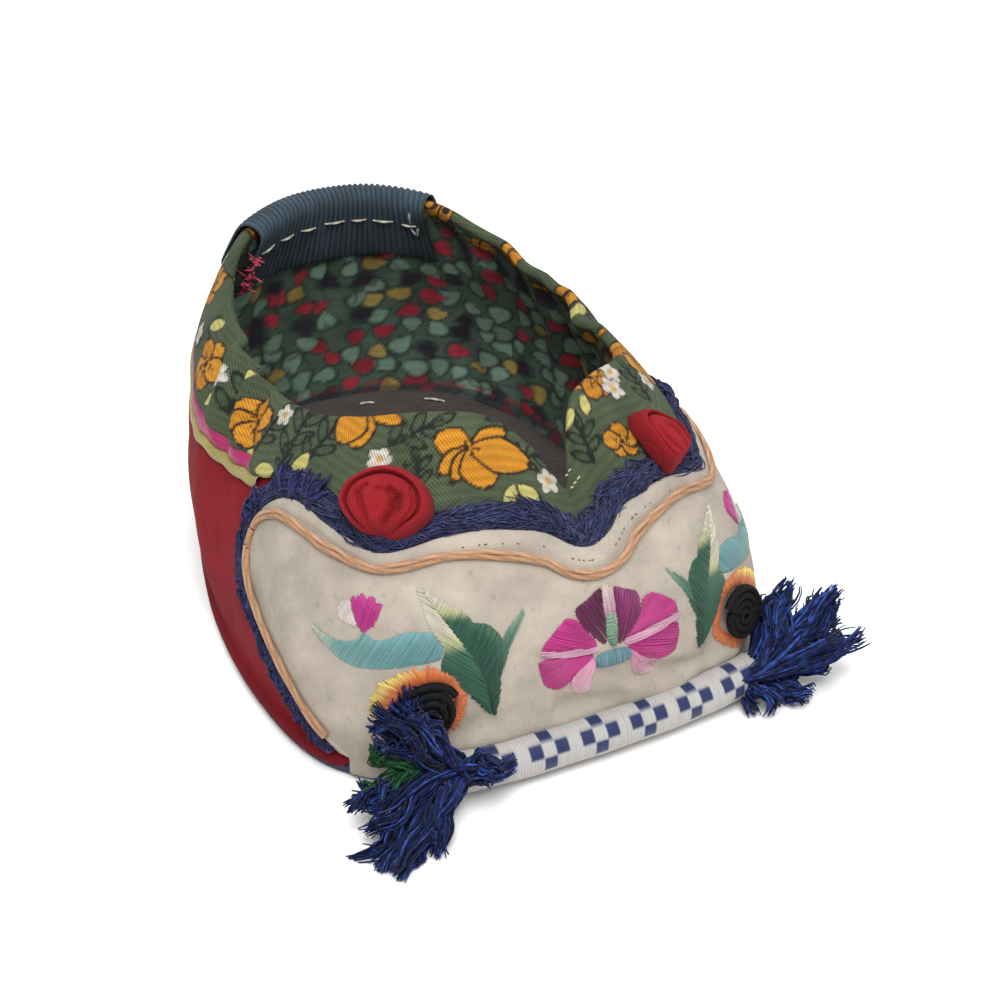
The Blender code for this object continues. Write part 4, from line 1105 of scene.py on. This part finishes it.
# Columns: along, inset
INSET = ((0.0, 3.2), (12.0, 3.4), (24.0, 2.8), (40.0, 1.5), (53.0, 3.0), (62.0, 2.0), (68.0, 1.0))
inset = np.interp(np.abs(spot[:, 0]), *np.array(INSET).T)
inset = 0.8 + (inset - 0.8) * smooth(26, 34, spot[:, 1])
inset = np.convolve(np.pad(inset, 20, mode="edge"), np.ones(41) / 41, mode="valid")
spot = spot - outward * inset[:, None]
path = wall(spot[:, 0], spot[:, 1], np.full(steps, PANEL_FACE + 0.42))
_, normal, _ = frame_at(spot[:, 0], spot[:, 1])
run = np.gradient(path, axis=0)
length = lengths_along(path)
run /= np.linalg.norm(run, axis=1, keepdims=True)
side = np.cross(run, normal)
strands = []
for start in (0.0, math.pi):
    apart = 0.36 * math.cos(start) + 0.07 * np.sin(length / 2.3 + start)
    strands.append(path + apart[:, None] * side + 0.06 * np.sin(length / 1.7 + start)[:, None] * normal)
points, faces, cloth = tubes(np.array(strands), 0.45, 8)
dye = np.repeat([linear("#a98468"), linear("#9d785a")], len(points) // 2, axis=0)
dye = dye * (1 + 0.08 * SEED.standard_normal((len(dye), 1)))
make_piece("couched_cord", points, faces, silk_cord, cloth, dye, ("vamp_cord",))

# %% [markdown]
# ## Yarn fringe
# Dark violet-blue cotton roving is laid round the panel and caught down, with cut tufts along the sides.
# A dark core blocks the view through; over it lie wisps, each nine fine fibres that share a direction,
# because loose roving parts into wisps. Paler fibres on top are a painted highlight.

# %% Fringe
WISP_FIBRES = 9
TUFT_FIBRES = 10
CORE_STEPS = 420


def fringe_path(start, span, across_a, across_b, lift, wave, steps):
    """Strands along the panel's edge; across is the distance outside the edge in millimetres."""
    share = np.linspace(0, 1, steps)[None]
    edge, outward = panel_edge(np.clip(start[:, None] + span[:, None] * share, 0.004, 0.996), 0.6)
    across = across_a[:, None] * (1 - share) + across_b[:, None] * share
    across = across + wave[:, None] * np.sin(share * 7 + start[:, None] * 90)
    spot = edge + outward * across[..., None]
    spot[..., 1] = np.maximum(spot[..., 1], 5.2)
    height = lift[:, None] * np.sin(np.pi * (0.12 + 0.76 * share)) ** 0.6
    return wall(spot[..., 0], spot[..., 1], 0.35 + height)


core_at = np.linspace(0.006, 0.994, CORE_STEPS)
still = np.zeros(CORE_STEPS)
core = []
for reach, rise in ((0.1, 0.0), (0.3, 0.75), (1.1, 1.25), (2.1, 1.3), (3.0, 0.85), (3.4, 0.0)):
    line = fringe_path(core_at, still + 1e-6, still + reach, still + reach, still + rise, still, 3)
    core.append(line[:, 1] if rise else line[:, 0])
core = np.array(core)
cloth = np.stack(np.broadcast_arrays(core_at[None] * 300, np.linspace(0, 4, len(core))[:, None]), -1)
make_piece("fringe_core", core, grid_faces(len(core), CORE_STEPS), cotton_yarn, cloth, linear("#1f2148"),
           ("fringe",))


def roving(name, count, share_along, slant, radius, colour, spread):
    """Fine fibres laid in wisps: all fibres of a wisp share one direction and start."""
    wisps = count // WISP_FIBRES
    count = wisps * WISP_FIBRES
    start = np.repeat(SEED.uniform(0.0, 1.0, wisps), WISP_FIBRES) + SEED.normal(0, 0.004, count)
    span = SEED.uniform(*share_along, wisps) * np.where(SEED.random(wisps) > 0.3, 1, -1)
    span = np.repeat(span, WISP_FIBRES) * SEED.uniform(0.7, 1.2, count)
    across = np.repeat(SEED.uniform(0.5, 2.9, wisps), WISP_FIBRES) + SEED.normal(0, 0.45, count)
    drift = np.repeat(SEED.normal(0, slant, wisps), WISP_FIBRES) + SEED.normal(0, 0.3, count)
    lift = np.repeat(SEED.uniform(1.0, 1.7, wisps), WISP_FIBRES) + SEED.normal(0, 0.16, count)
    wave = SEED.normal(0, 0.22, count)
    a = np.clip(across - drift, -0.1, 3.9)
    b = np.clip(across + drift, -0.1, 4.3)
    taper = np.array([[0.4, 0.9, 1, 1, 1, 1, 1, 0.8, 0.3]])
    paths = fringe_path(start, span, a, b, lift, wave, taper.shape[1])
    strand_piece(name, paths, SEED.uniform(0.7, 1.3, (count, 1)) * radius * taper, 3, cotton_yarn,
                 jitter(colour, count, spread))


roving("fringe_wisps", 2400, (0.025, 0.06), 0.8, 0.14, "#313556", 0.28)
# Paler fibres over the wisps: a painted highlight.
roving("fringe_highlight_fibres", 900, (0.02, 0.05), 1.0, 0.07, "#4a4f76", 0.3)
tufts = 76
count = tufts * TUFT_FIBRES
centre = np.concatenate([np.linspace(0.012, 0.25, tufts // 2), np.linspace(0.75, 0.988, tufts // 2)])
centre = np.repeat(centre + SEED.normal(0, 0.002, tufts), TUFT_FIBRES)
length = np.repeat(SEED.uniform(2.4, 4.6, tufts), TUFT_FIBRES)
lean = np.repeat(SEED.normal(0.0, 0.008, tufts), TUFT_FIBRES)
taper = np.array([[1, 1, 1, 1, 1, 0.9, 0.8, 0.4]])
paths = fringe_path(centre + SEED.normal(0, 0.0022, count), lean + SEED.normal(0, 0.004, count),
                    SEED.uniform(0.1, 0.9, count), length + SEED.normal(0, 0.5, count),
                    np.repeat(SEED.uniform(1.2, 2.2, tufts), TUFT_FIBRES) + SEED.normal(0, 0.25, count),
                    SEED.normal(0, 0.25, count), taper.shape[1])
strand_piece("fringe_tufts", paths, SEED.uniform(0.18, 0.3, (count, 1)) * taper, 4, cotton_yarn,
             jitter("#23254c", count, 0.3))

# %% [markdown]
# ## Ribbons under the collar
# A pink ribbon and a folded yellow edge run under the collar on each side and rise to the heel tab. Each is
# a strip of the wall between two heights, bulged like a folded tape, so that light runs along its middle.

# %% Ribbons
# Columns: name, below the collar's edge, width, colour
RIBBONS = (("ribbon_pink", -0.4, 2.5, "#931f54"), ("ribbon_yellow", 2.1, 1.8, "#8d8245"))
for name, below, width, colour in RIBBONS:
    for side, word in SIDES:
        columns = 260
        along = side * np.linspace(72.0, HALF - 6.0, columns)
        top = collar_edge(along) - below + 0.15 * np.sin(along * 0.7)
        share = np.linspace(0, 1, 9)[:, None]
        height = top - width * share
        bulge = 0.35 + 0.75 * np.sin(np.pi * share) ** 0.5
        wide = np.broadcast_to(along, height.shape)
        points = wall(wide, height, np.broadcast_to(bulge, height.shape))
        order = grid_faces(9, columns) if side < 0 else grid_faces(9, columns)[:, ::-1]
        shade = linear(colour) * (0.88 + 0.2 * SEED.random((points.size // 3, 1)))
        make_piece(name + "_cloth_" + word, points, order, ribbon_weave, np.stack([wide, height], -1), shade,
                   (name + "_" + word,))

# %% [markdown]
# ## Corduroy heel tab
# A strip of fine corduroy is folded over the heel's rim. Its ribs are real relief here, 1.5 mm apart,
# because they break the outline at the top edge. A line of long off-white stitches holds it.

# %% Heel tab and back strip
WALE = 1.5
CORDUROY_DYE = linear("#33404a")


def wales(along):
    return np.abs(np.sin(np.pi * along / WALE)) ** 0.7


columns = 560
around = HALF + np.linspace(-28.0, 26.5, columns)
top = rim_height(around)
rim_point, rim_normal, rim_up = frame_at(around, top)
# Columns: outwards from the rim, up from it
TAB_PATH = (
    (1.5, -9.0), (2.0, -8.8), (2.3, -8.0), (2.35, -6.0), (2.35, -4.0), (2.3, -2.0), (2.2, -0.6),
    (1.9, 0.8), (1.3, 1.7), (0.4, 2.25), (-0.8, 2.4), (-2.0, 2.2), (-2.9, 1.5), (-3.4, 0.4),
    (-3.55, -1.0), (-3.6, -3.0), (-3.65, -5.0), (-3.7, -7.0), (-3.75, -9.0), (-3.75, -11.0), (-3.7, -12.6),
    (-3.5, -13.4), (-2.9, -13.7), (-2.2, -13.6),
)
rib = wales(around)[:, None]
puff = 0.5 * (rib - 0.6)
points = []
for out, up in TAB_PATH:
    step = np.array([out, up])
    centre = np.array([-0.7, min(up, 0.0)])
    outwards = (step - centre) / (np.linalg.norm(step - centre) + 1e-9)
    points.append(rim_point + rim_normal * (out + outwards[0] * puff) + rim_up * (up + outwards[1] * puff))
points = np.array(points)
lengths = knots_along(np.array(TAB_PATH))
cloth = np.stack(np.broadcast_arrays(around[None], lengths[:, None]), -1)
speckle = 0.12 * SEED.standard_normal((len(TAB_PATH), columns))
# The dye holds painted shade between the ribs and painted highlight on them, with random speckle.
make_piece("corduroy_tab", points, grid_faces(len(TAB_PATH), columns), corduroy, cloth,
           CORDUROY_DYE * (0.65 + 0.6 * rib.T + speckle)[..., None], ("heel_tab",))
columns = 110
rows = 60
around = HALF + np.linspace(-5.0, 5.0, columns)
height = np.broadcast_to(np.linspace(FOOT_Z + 0.4, 52.5, rows)[:, None], (rows, columns))
wide = np.broadcast_to(around, height.shape)
edge = smooth(0.0, 0.7, 5.0 - np.abs(around - HALF))
points = wall(wide, height, 0.3 + (0.75 + 0.25 * wales(around)) * edge + np.zeros(height.shape))
# Painted shade between the ribs and painted highlight on them, in the dye.
strip_dye_and_rib_shade = CORDUROY_DYE * (0.65 + 0.6 * wales(around))[None, :, None] * np.ones((rows, 1, 1))
make_piece("corduroy_strip", points, grid_faces(rows, columns), corduroy, np.stack([wide, height], -1),
           strip_dye_and_rib_shade, ("back_strip",))

# %% [markdown]
# ### Hand stitches
# Long running stitches hold the tab, and pink threads fray from one end of it. A stitch is a short tube
# that rises between the two points where it goes into the cloth, as a pulled thread does.

# %% Running stitches and frayed ends


def stitch_piece(name, starts, ends, radius, colour, bow):
    """Short hand stitches: each rises a little between the two points where it goes in."""
    starts, ends = np.array(starts, float), np.array(ends, float)
    taper = np.array([[0.5, 0.9, 1, 1, 1, 0.9, 0.5]])
    share = np.linspace(0, 1, taper.shape[1])[None, :, None]
    paths = starts[:, None, :3] * (1 - share) + ends[:, None, :3] * share
    up = starts[:, 3:] if starts.shape[1] > 3 else np.array([[0.0, 0.0, 1.0]])
    paths = paths + bow * np.sin(np.pi * share) * up[:, None]
    strand_piece(name, paths, radius * taper, 6, cotton_yarn, jitter(colour, len(starts), 0.08))


def on_tab(offset, down):
    """A place on the tab's inner face, with the direction out of the cloth."""
    around = HALF + offset
    point, normal, up = frame_at(around, rim_height(around))
    return np.concatenate([point - normal * 3.85 + up * down, -normal])


# Columns: start and end, round from the heel's middle
STITCHES = ((-24.6, -20.4), (-18.2, -12.6), (-10.6, -6.0), (-4.0, 2.0), (4.6, 9.6), (12.0, 16.6), (18.8, 23.6))
starts = [on_tab(a, -3.4 + 0.25 * math.sin(a)) for a, _ in STITCHES]
ends = [on_tab(b, -3.4 + 0.25 * math.sin(b)) for _, b in STITCHES]
starts += [on_tab(-25.0, -3.6), on_tab(-24.2, -6.2), on_tab(-23.2, 0.4)]
ends += [on_tab(-24.4, -6.4), on_tab(-22.8, -3.8), on_tab(-23.0, -3.0)]
stitch_piece("tab_stitches", starts, ends, 0.26, "#b0aa9d", 0.25)
frayed_a = [on_tab(25.2 + 1.5 * SEED.random(), -3.0 - 9 * SEED.random()) for _ in range(34)]
frayed_b = [p + np.concatenate([SEED.normal(0, 1.1, 3), np.zeros(3)]) for p in frayed_a]
stitch_piece("frayed_selvedge", frayed_a, frayed_b, 0.2, "#b8485a", 0.8)

# %% [markdown]
# ## Rosettes
# Each ear is a strip of red cotton rolled and folded: a rounded lip round the outside, a groove, and an
# inner roll with a deep fold. It is modelled as a height over a tapered disc, with the folds as troughs
# along listed lines.

# %% Rosettes
# Columns: x0, y0, x1, y1, width, depth, in shares of the disc
FOLDS = (
    (-0.40, 0.36, -0.50, 0.12, 0.07, 0.9), (-0.50, 0.12, -0.34, -0.28, 0.08, 1.1),
    (-0.34, -0.28, -0.06, -0.80, 0.07, 0.9), (-0.12, 0.30, 0.14, 0.32, 0.08, 0.7),
    (0.14, 0.32, 0.33, 0.16, 0.11, 1.4), (0.33, 0.16, 0.34, -0.10, 0.13, 1.9),
    (0.34, -0.10, 0.22, -0.45, 0.10, 1.6), (0.22, -0.45, 0.04, -0.86, 0.08, 1.0),
    (0.60, 0.42, 0.70, 0.02, 0.035, 0.5), (0.70, 0.02, 0.60, -0.44, 0.035, 0.5),
)
# Columns: side, along, height, half_wide, fold_depth, narrow
EARS = (("left", 33.6, 41.9, 3.7, 0.5, 0.15), ("right", -40.2, 41.0, 6.7, 1.0, 0.42))
EAR_HALF_TALL = 6.0


def seat(along, height):
    """How far off the wall a rosette sits: over the fringe, and closer where it lies on the collar."""
    share = smooth(-0.5, 2.0, height - collar_edge(along))
    return 2.35 - 0.8 * share


rings, spokes = 64, 150
r = np.linspace(0.0, 1.12, rings)[:, None]
turn = np.linspace(0, 2 * math.pi, spokes, endpoint=False)[None]
x = r * np.cos(turn)
y = r * np.sin(turn)
lip = 0.75 * np.sqrt(np.clip(1 - ((r - 0.93) / 0.11) ** 2, 0, 1))
groove = np.exp(-((r - 0.80) / 0.035) ** 2) * smooth(-1.0, -0.3, y)
puffed = 3.2 * np.clip(1 - (r / 1.12) ** 5, 0, 1) ** 0.6 + 0.7 * (1 - r ** 2) + lip - groove
tucked = smooth(-1.02, -0.42, y)
for word, spot_a, spot_h, half_wide, fold_depth, narrow in EARS:
    trough = np.zeros(puffed.shape)
    for *line, width, depth in FOLDS:
        fold = fold_depth * depth * np.exp(-(line_distance(x, y, *line) / width) ** 2)
        trough = np.maximum(trough, fold)
    rise = puffed - trough
    wide, tall = stretch_at(spot_a, spot_h)
    taper = 1 - narrow * smooth(0.05, 1.1, -y)
    a = spot_a + x * taper * half_wide / wide
    h = spot_h + y * EAR_HALF_TALL / tall
    points = wall(a, h, seat(a, h) * (0.2 + 0.8 * tucked) + np.maximum(rise, -0.3) * tucked)
    # Painted shade: darker down in the folds, slightly lighter on the highest rolls.
    fold_shade = np.clip(0.55 + 0.12 * rise, 0.35, 1.05)
    make_piece("rosette_cloth_" + word, points, grid_faces(rings, spokes, 0, True), rolled_cotton,
               np.stack([x * 7, y * 7], -1), linear("#860d18") * fold_shade[..., None], ("rosette_" + word,))

# %% [markdown]
# ## Toe roll
# Across the toe lies a roll wrapped in white silk thread, with small blocks of blue woven through it in
# diamonds of four. The wrap is fine relief round the roll; the blocks are charted: one row of the table
# is one block of a diamond, and the diamonds repeat along the roll.

# %% Toe roll
ROLL_RADIUS = 3.5
ROLL_FROM, ROLL_TO = -29.5, 33.0
ROLL_HEIGHT = 4.3
WRAP_PITCH = 0.62  # drawn coarser than real thread, so that it shows
DIAMONDS = 6
DIAMOND_TURN = 0.75  # how far up the front of the roll they sit, in radians
BLOCK = 2.35
BLOCK_ROUND = 2.65
# Columns: step_along, step_round
DIAMOND = ((-1, 0), (1, 0), (0, 1), (0, -1))


def roll_axis(along):
    """Middle of the roll, as close to the panel as it can lie, and the level directions out of the toe."""
    foot, flat = foot_line(along)
    clear = ROLL_RADIUS + 0.4
    reach = np.zeros(len(along))
    for height in np.linspace(FOOT_Z, ROLL_HEIGHT + clear, 12):
        point, out, _ = frame_at(along, np.full(len(along), height))
        face = point + out * PANEL_FACE
        level = min(abs(height - ROLL_HEIGHT), clear)
        depth = math.sqrt(clear ** 2 - level ** 2)
        reach = np.maximum(reach, ((face - foot)[:, :2] * flat).sum(axis=1) + depth)
    return np.column_stack([foot[:, :2] + flat * reach[:, None], np.full(len(along), ROLL_HEIGHT)]), flat


columns = 480
sides = 44
along = np.linspace(ROLL_FROM, ROLL_TO, columns)
axis, flat = roll_axis(along)
run_mm = lengths_along(axis)
angle = np.linspace(0, 2 * math.pi, sides, endpoint=False)
middle = run_mm[-1] * 3.5 / DIAMONDS
pitch = 0.91 * run_mm[-1] / DIAMONDS
place = (run_mm - middle + pitch / 2) % pitch - pitch / 2
round_mm = ((angle - DIAMOND_TURN + math.pi) % (2 * math.pi) - math.pi) * ROLL_RADIUS
blue = np.zeros((columns, sides))
for step_along, step_round in DIAMOND:
    in_run = 1 - smooth(0.42, 0.56, np.abs(place - step_along * BLOCK) / BLOCK)
    in_turn = 1 - smooth(0.42, 0.56, np.abs(round_mm - step_round * BLOCK_ROUND) / BLOCK_ROUND)
    blue = np.maximum(blue, in_run[:, None] * in_turn[None])
thread = np.abs(np.sin(np.pi * run_mm / WRAP_PITCH))[:, None]
end = np.minimum(run_mm, run_mm[-1] - run_mm)[:, None]
radius = (ROLL_RADIUS - 0.08 + 0.05 * thread - 0.06 * blue) * (1 - 0.16 * (1 - smooth(0.0, 1.6, end)))
radius = radius + 0.06 * np.sin(run_mm[:, None] * 0.5)
ring = np.cos(angle)[None, :, None] * np.column_stack([flat, np.zeros(columns)])[:, None]
ring = ring + np.sin(angle)[None, :, None] * np.array([0, 0, 1.0])
points = axis[:, None] + ring * radius[..., None]
uneven = 1 + 0.05 * SEED.standard_normal((columns, 1, 1))
# Painted shade: the dye is lighter on each wound turn and darker between the turns.
white = linear("#a6a4a1") * (0.92 + 0.11 * thread)[..., None] * uneven
navy = linear("#172350") * (0.85 + 0.25 * thread)[..., None]
dye = white * (1 - blue[..., None]) + navy * blue[..., None]
faces = grid_faces(columns, sides, 0, True).tolist()
faces.append(list(range(sides))[::-1])
faces.append(list(range((columns - 1) * sides, columns * sides)))
cloth = np.stack(np.broadcast_arrays(run_mm[:, None], angle[None] / (2 * math.pi)), -1)
make_piece("thread_wrapped_roll", points, faces, wrapped_silk, cloth, dye, ("toe_roll",))

# %% [markdown]
# ## Tassels
# At each end of the roll a bush of blue cotton yarn is tied on. The strands leave one root, spread to a
# few lobes and end ragged; one bush hangs forward over the eye to the floor, the other stands out to the
# side. Each lobe is a tip in space with a share of the yarns. A yarn is a bundle of fine fibres
# that wind round one wavy way and part at the cut end, which makes the edge of the bush soft.

# %% Tassels
YARNS, YARN_FIBRES = 68, 16
GREEN_YARNS, GREEN_FIBRES, GREEN_STEPS = 6, 14, 12
# Columns: x, y, z, share, spread
HANGING = np.array((
    (-46.2, -59.6, 1.8, 0.20, 1.0), (-45.0, -63.2, 1.6, 0.20, 1.0), (-38.8, -62.0, 1.8, 0.13, 0.9),
    (-45.0, -54.5, 6.5, 0.11, 1.2), (-39.6, -49.4, 16.0, 0.16, 1.3), (-35.6, -49.6, 18.5, 0.20, 1.5),
    (-26.0, -56.5, 9.0, 0.07, 1.2), (-22.5, -57.2, 6.5, 0.05, 0.8),
))
STANDING = np.array((
    (38.0, -46.5, 14.5, 0.22, 1.2), (45.8, -49.5, 12.5, 0.24, 1.2), (46.0, -53.8, 7.5, 0.22, 1.2),
    (42.5, -55.5, 4.6, 0.14, 1.0), (36.0, -57.5, 2.4, 0.11, 1.0), (28.5, -58.0, 1.8, 0.07, 0.8),
))
GREENS = np.array(((-42.0, -48.5, 12.5, 0.6, 0.6), (-44.5, -52.5, 7.0, 0.4, 0.7)))


def tassel_strands(root, run, tips, yarns, fibres, steps):
    """Fibres that wind loosely round the way of their yarn and part towards its cut end."""
    count = yarns * fibres
    pick = SEED.choice(len(tips), yarns, p=tips[:, 3] / tips[:, 3].sum())
    tip = tips[pick, :3] + SEED.normal(0, 1, (yarns, 3)) * tips[pick, 4:5]
    begin = root + SEED.normal(0, 0.9, (yarns, 3)) - run * SEED.uniform(0.0, 6.0, (yarns, 1))
    bulge = np.array([0.0, -1.0, 0.6]) * SEED.uniform(0.0, 3.0, (yarns, 1))
    handle = 0.5 * begin + 0.5 * tip + bulge + SEED.normal(0, 1.3, (yarns, 3))
    share = np.linspace(0, 1, steps)[None, :, None]
    way = (1 - share) ** 2 * begin[:, None] + 2 * share * (1 - share) * handle[:, None]
    way = way + share ** 2 * tip[:, None]
    for waves, size in ((5.0, 1.3), (12.0, 0.6)):
        pace = SEED.uniform(0.7, 1.3, (yarns, 1, 3))
        shift = SEED.uniform(0, 6.3, (yarns, 1, 3))
        way = way + size * share * np.sin(share * waves * pace + shift)
    way = np.repeat(way, fibres, axis=0)
    gone = share[..., 0]
    phase = SEED.uniform(0, 6.3, (count, 1)) + 5.0 * gone
    reach = 0.85 * np.sqrt(SEED.random((count, 1))) * (0.6 + 0.7 * gone)
    reach = reach + 0.9 * gone ** 2 * (SEED.random((count, 1)) > 0.85)
    heading = tip - begin
    side = np.cross(heading, np.array([0.3, 0.2, 1.0]))
    side /= np.linalg.norm(side, axis=1, keepdims=True)
    over = np.cross(side, heading)
    over /= np.linalg.norm(over, axis=1, keepdims=True)
    side, over = np.repeat(side, fibres, axis=0)[:, None], np.repeat(over, fibres, axis=0)[:, None]
    path = way + (reach * np.cos(phase))[..., None] * side + (reach * np.sin(phase))[..., None] * over
    path = path + 0.06 * np.cumsum(SEED.standard_normal((count, steps, 3)), axis=1)
    path[..., 2] = np.maximum(path[..., 2], 0.3 + 0.5 * SEED.random((count, 1)))
    return path


ends, _ = roll_axis(np.array([ROLL_FROM, ROLL_FROM + 1.0, ROLL_TO - 1.0, ROLL_TO]))
for word, end, inner, tips in (("right", ends[0], ends[1], HANGING), ("left", ends[3], ends[2], STANDING)):
    run = (end - inner) / np.linalg.norm(end - inner)
    root = end + run * 1.0 + np.array([0.0, -1.2, 0.8])
    count = YARNS * YARN_FIBRES
    taper = np.concatenate([np.ones(12), [0.9, 0.8, 0.5]])
    paths = tassel_strands(root, run, tips, YARNS, YARN_FIBRES, len(taper))
    thick = SEED.uniform(0.18, 0.28, (count, 1)) * taper
    # A quarter of the fibres are paler: a painted highlight.
    highlight_fibres = SEED.random((count, 1)) <= 0.25
    shade = np.where(~highlight_fibres, jitter("#111d49", count, 0.35), jitter("#284184", count, 0.25))
    strand_piece("yarn_tassel_" + word, paths, thick, 3, cotton_yarn, shade, ("tassel_" + word,))
    if word == "right":
        paths = tassel_strands(root + np.array([-7.0, 0.5, 3.0]), run, GREENS, GREEN_YARNS, GREEN_FIBRES,
                               GREEN_STEPS)
        strand_piece("green_yarn", paths, 0.18, 3, cotton_yarn, jitter("#194d2a", len(paths), 0.25))

# %% [markdown]
# ## Small stitches
# Small tacking stitches show along the panel's turned edge, a pale dashed line on the collar beside the V,
# and a few white stitches on the insole. They are the same short tubes, because a dark or pale dash alone
# would cast no shadow.

# %% Small stitches
TACKS = 92
edge_spot, outward = panel_edge(np.linspace(0.2, 0.8, TACKS))
spot = edge_spot - outward * 1.5
_, normal, _ = frame_at(spot[:, 0], spot[:, 1])
base = wall(spot[:, 0], spot[:, 1], np.full(TACKS, PANEL_FACE + 0.14))
run = np.gradient(base, axis=0)
run /= np.linalg.norm(run, axis=1, keepdims=True)
pick = SEED.random(TACKS) > 0.6
far_end = base + run * SEED.uniform(0.15, 0.6, (TACKS, 1))
stitch_piece("edge_tacks", np.column_stack([base, normal])[pick], far_end[pick], 0.13, "#6b6256",
             0.08)
starts, ends = [], []
for a, above in ((3.6, 1.3), (5.6, 1.5), (7.6, 1.6), (4.4, 2.6), (6.4, 2.8)):
    p, n, _ = frame_at(a, collar_edge(a) + above)
    q, _, _ = frame_at(a + 1.4, collar_edge(a + 1.4) + above)
    starts.append(np.concatenate([p + n * 1.35, n]))
    ends.append(np.concatenate([q + n * 1.35, n]))
stitch_piece("collar_seam", starts, ends, 0.15, "#aca88f", 0.12)
# Columns: x and y of the start, x and y of the end
INSOLE_STITCHES = (
    (5, 59, 8, 58), (18.5, 55, 22, 52), (4, 34, 10, 33), (14, 28, 18, 24),
    (-6, 44, -2, 46), (12, 46, 14, 44), (20, 18, 21, 13), (2, 20, 6, 20),
)
starts = [(x0, y0, insole_top(y0) + 0.3) for x0, y0, _, _ in INSOLE_STITCHES]
ends = [(x1, y1, insole_top(y1) + 0.3) for _, _, x1, y1 in INSOLE_STITCHES]
stitch_piece("insole_stitches", starts, ends, 0.28, "#b9b2a8", 0.15)

# %% [markdown]
# ## Stage, light and camera
# A pale floor, a soft lamp above and to the left, a weaker one from the right, one above the heel, and a
# plain white surround. The camera stands where the photograph was taken from, about 305 mm away and 31
# degrees up.

# %% Stage and camera
CAMERA_AT = (-0.12275, -0.23477, 0.17907)
CAMERA_TO = (0.004, -0.006, 0.022)
CAMERA_ROLL = 1.17
floor_mesh = bpy.data.meshes.new("floor")
floor_mesh.from_pydata([(-4, -4, 0), (4, -4, 0), (4, 4, 0), (-4, 4, 0)], [], [(0, 1, 2, 3)])
floor = bpy.data.objects.new("floor", floor_mesh)
bpy.context.scene.collection.objects.link(floor)
# Matt paper without a gloss: the floor shows nothing but soft shadow.
paper, _, paper_shader = start_finish("white paper sweep", 0.9, 0.0)
paper_shader.inputs["Base Color"].default_value = (*linear("#fbfaf9"), 1)
floor_mesh.materials.append(paper)

world = bpy.data.worlds.new("soft room")
bpy.context.scene.world = world
world.use_nodes = True
world.node_tree.nodes["Background"].inputs["Color"].default_value = (1, 1, 1, 1)
world.node_tree.nodes["Background"].inputs["Strength"].default_value = 0.5


def aim(item, position, target, roll_deg=0.0):
    back = (Vector(position) - Vector(target)).normalized()
    turn = back.to_track_quat("Z", "Y").to_matrix().to_4x4()
    roll = Matrix.Rotation(math.radians(roll_deg), 4, "Z")
    item.matrix_world = Matrix.Translation(Vector(position)) @ turn @ roll


# Columns: name, position, size, power
for name, position, size, power in (
    ("key", (-0.2, -0.35, 0.75), 0.5, 7.1),
    ("fill", (0.7, -0.6, 0.5), 0.9, 2.0),
    ("top", (0.05, 0.35, 0.9), 0.8, 3.0),
):
    lamp = bpy.data.lights.new(name, "AREA")
    lamp.size = size
    lamp.energy = power
    holder = bpy.data.objects.new(name, lamp)
    bpy.context.scene.collection.objects.link(holder)
    aim(holder, position, (0, 0, 0.02))

camera = bpy.data.cameras.new("camera")
camera.lens = 60.0
camera.sensor_width = 36.0
camera.clip_start = 0.01
eye = bpy.data.objects.new("camera", camera)
bpy.context.scene.collection.objects.link(eye)
aim(eye, CAMERA_AT, CAMERA_TO, CAMERA_ROLL)
bpy.context.scene.camera = eye
bpy.context.scene.view_settings.view_transform = "Standard"
print("camera lens", camera.lens)
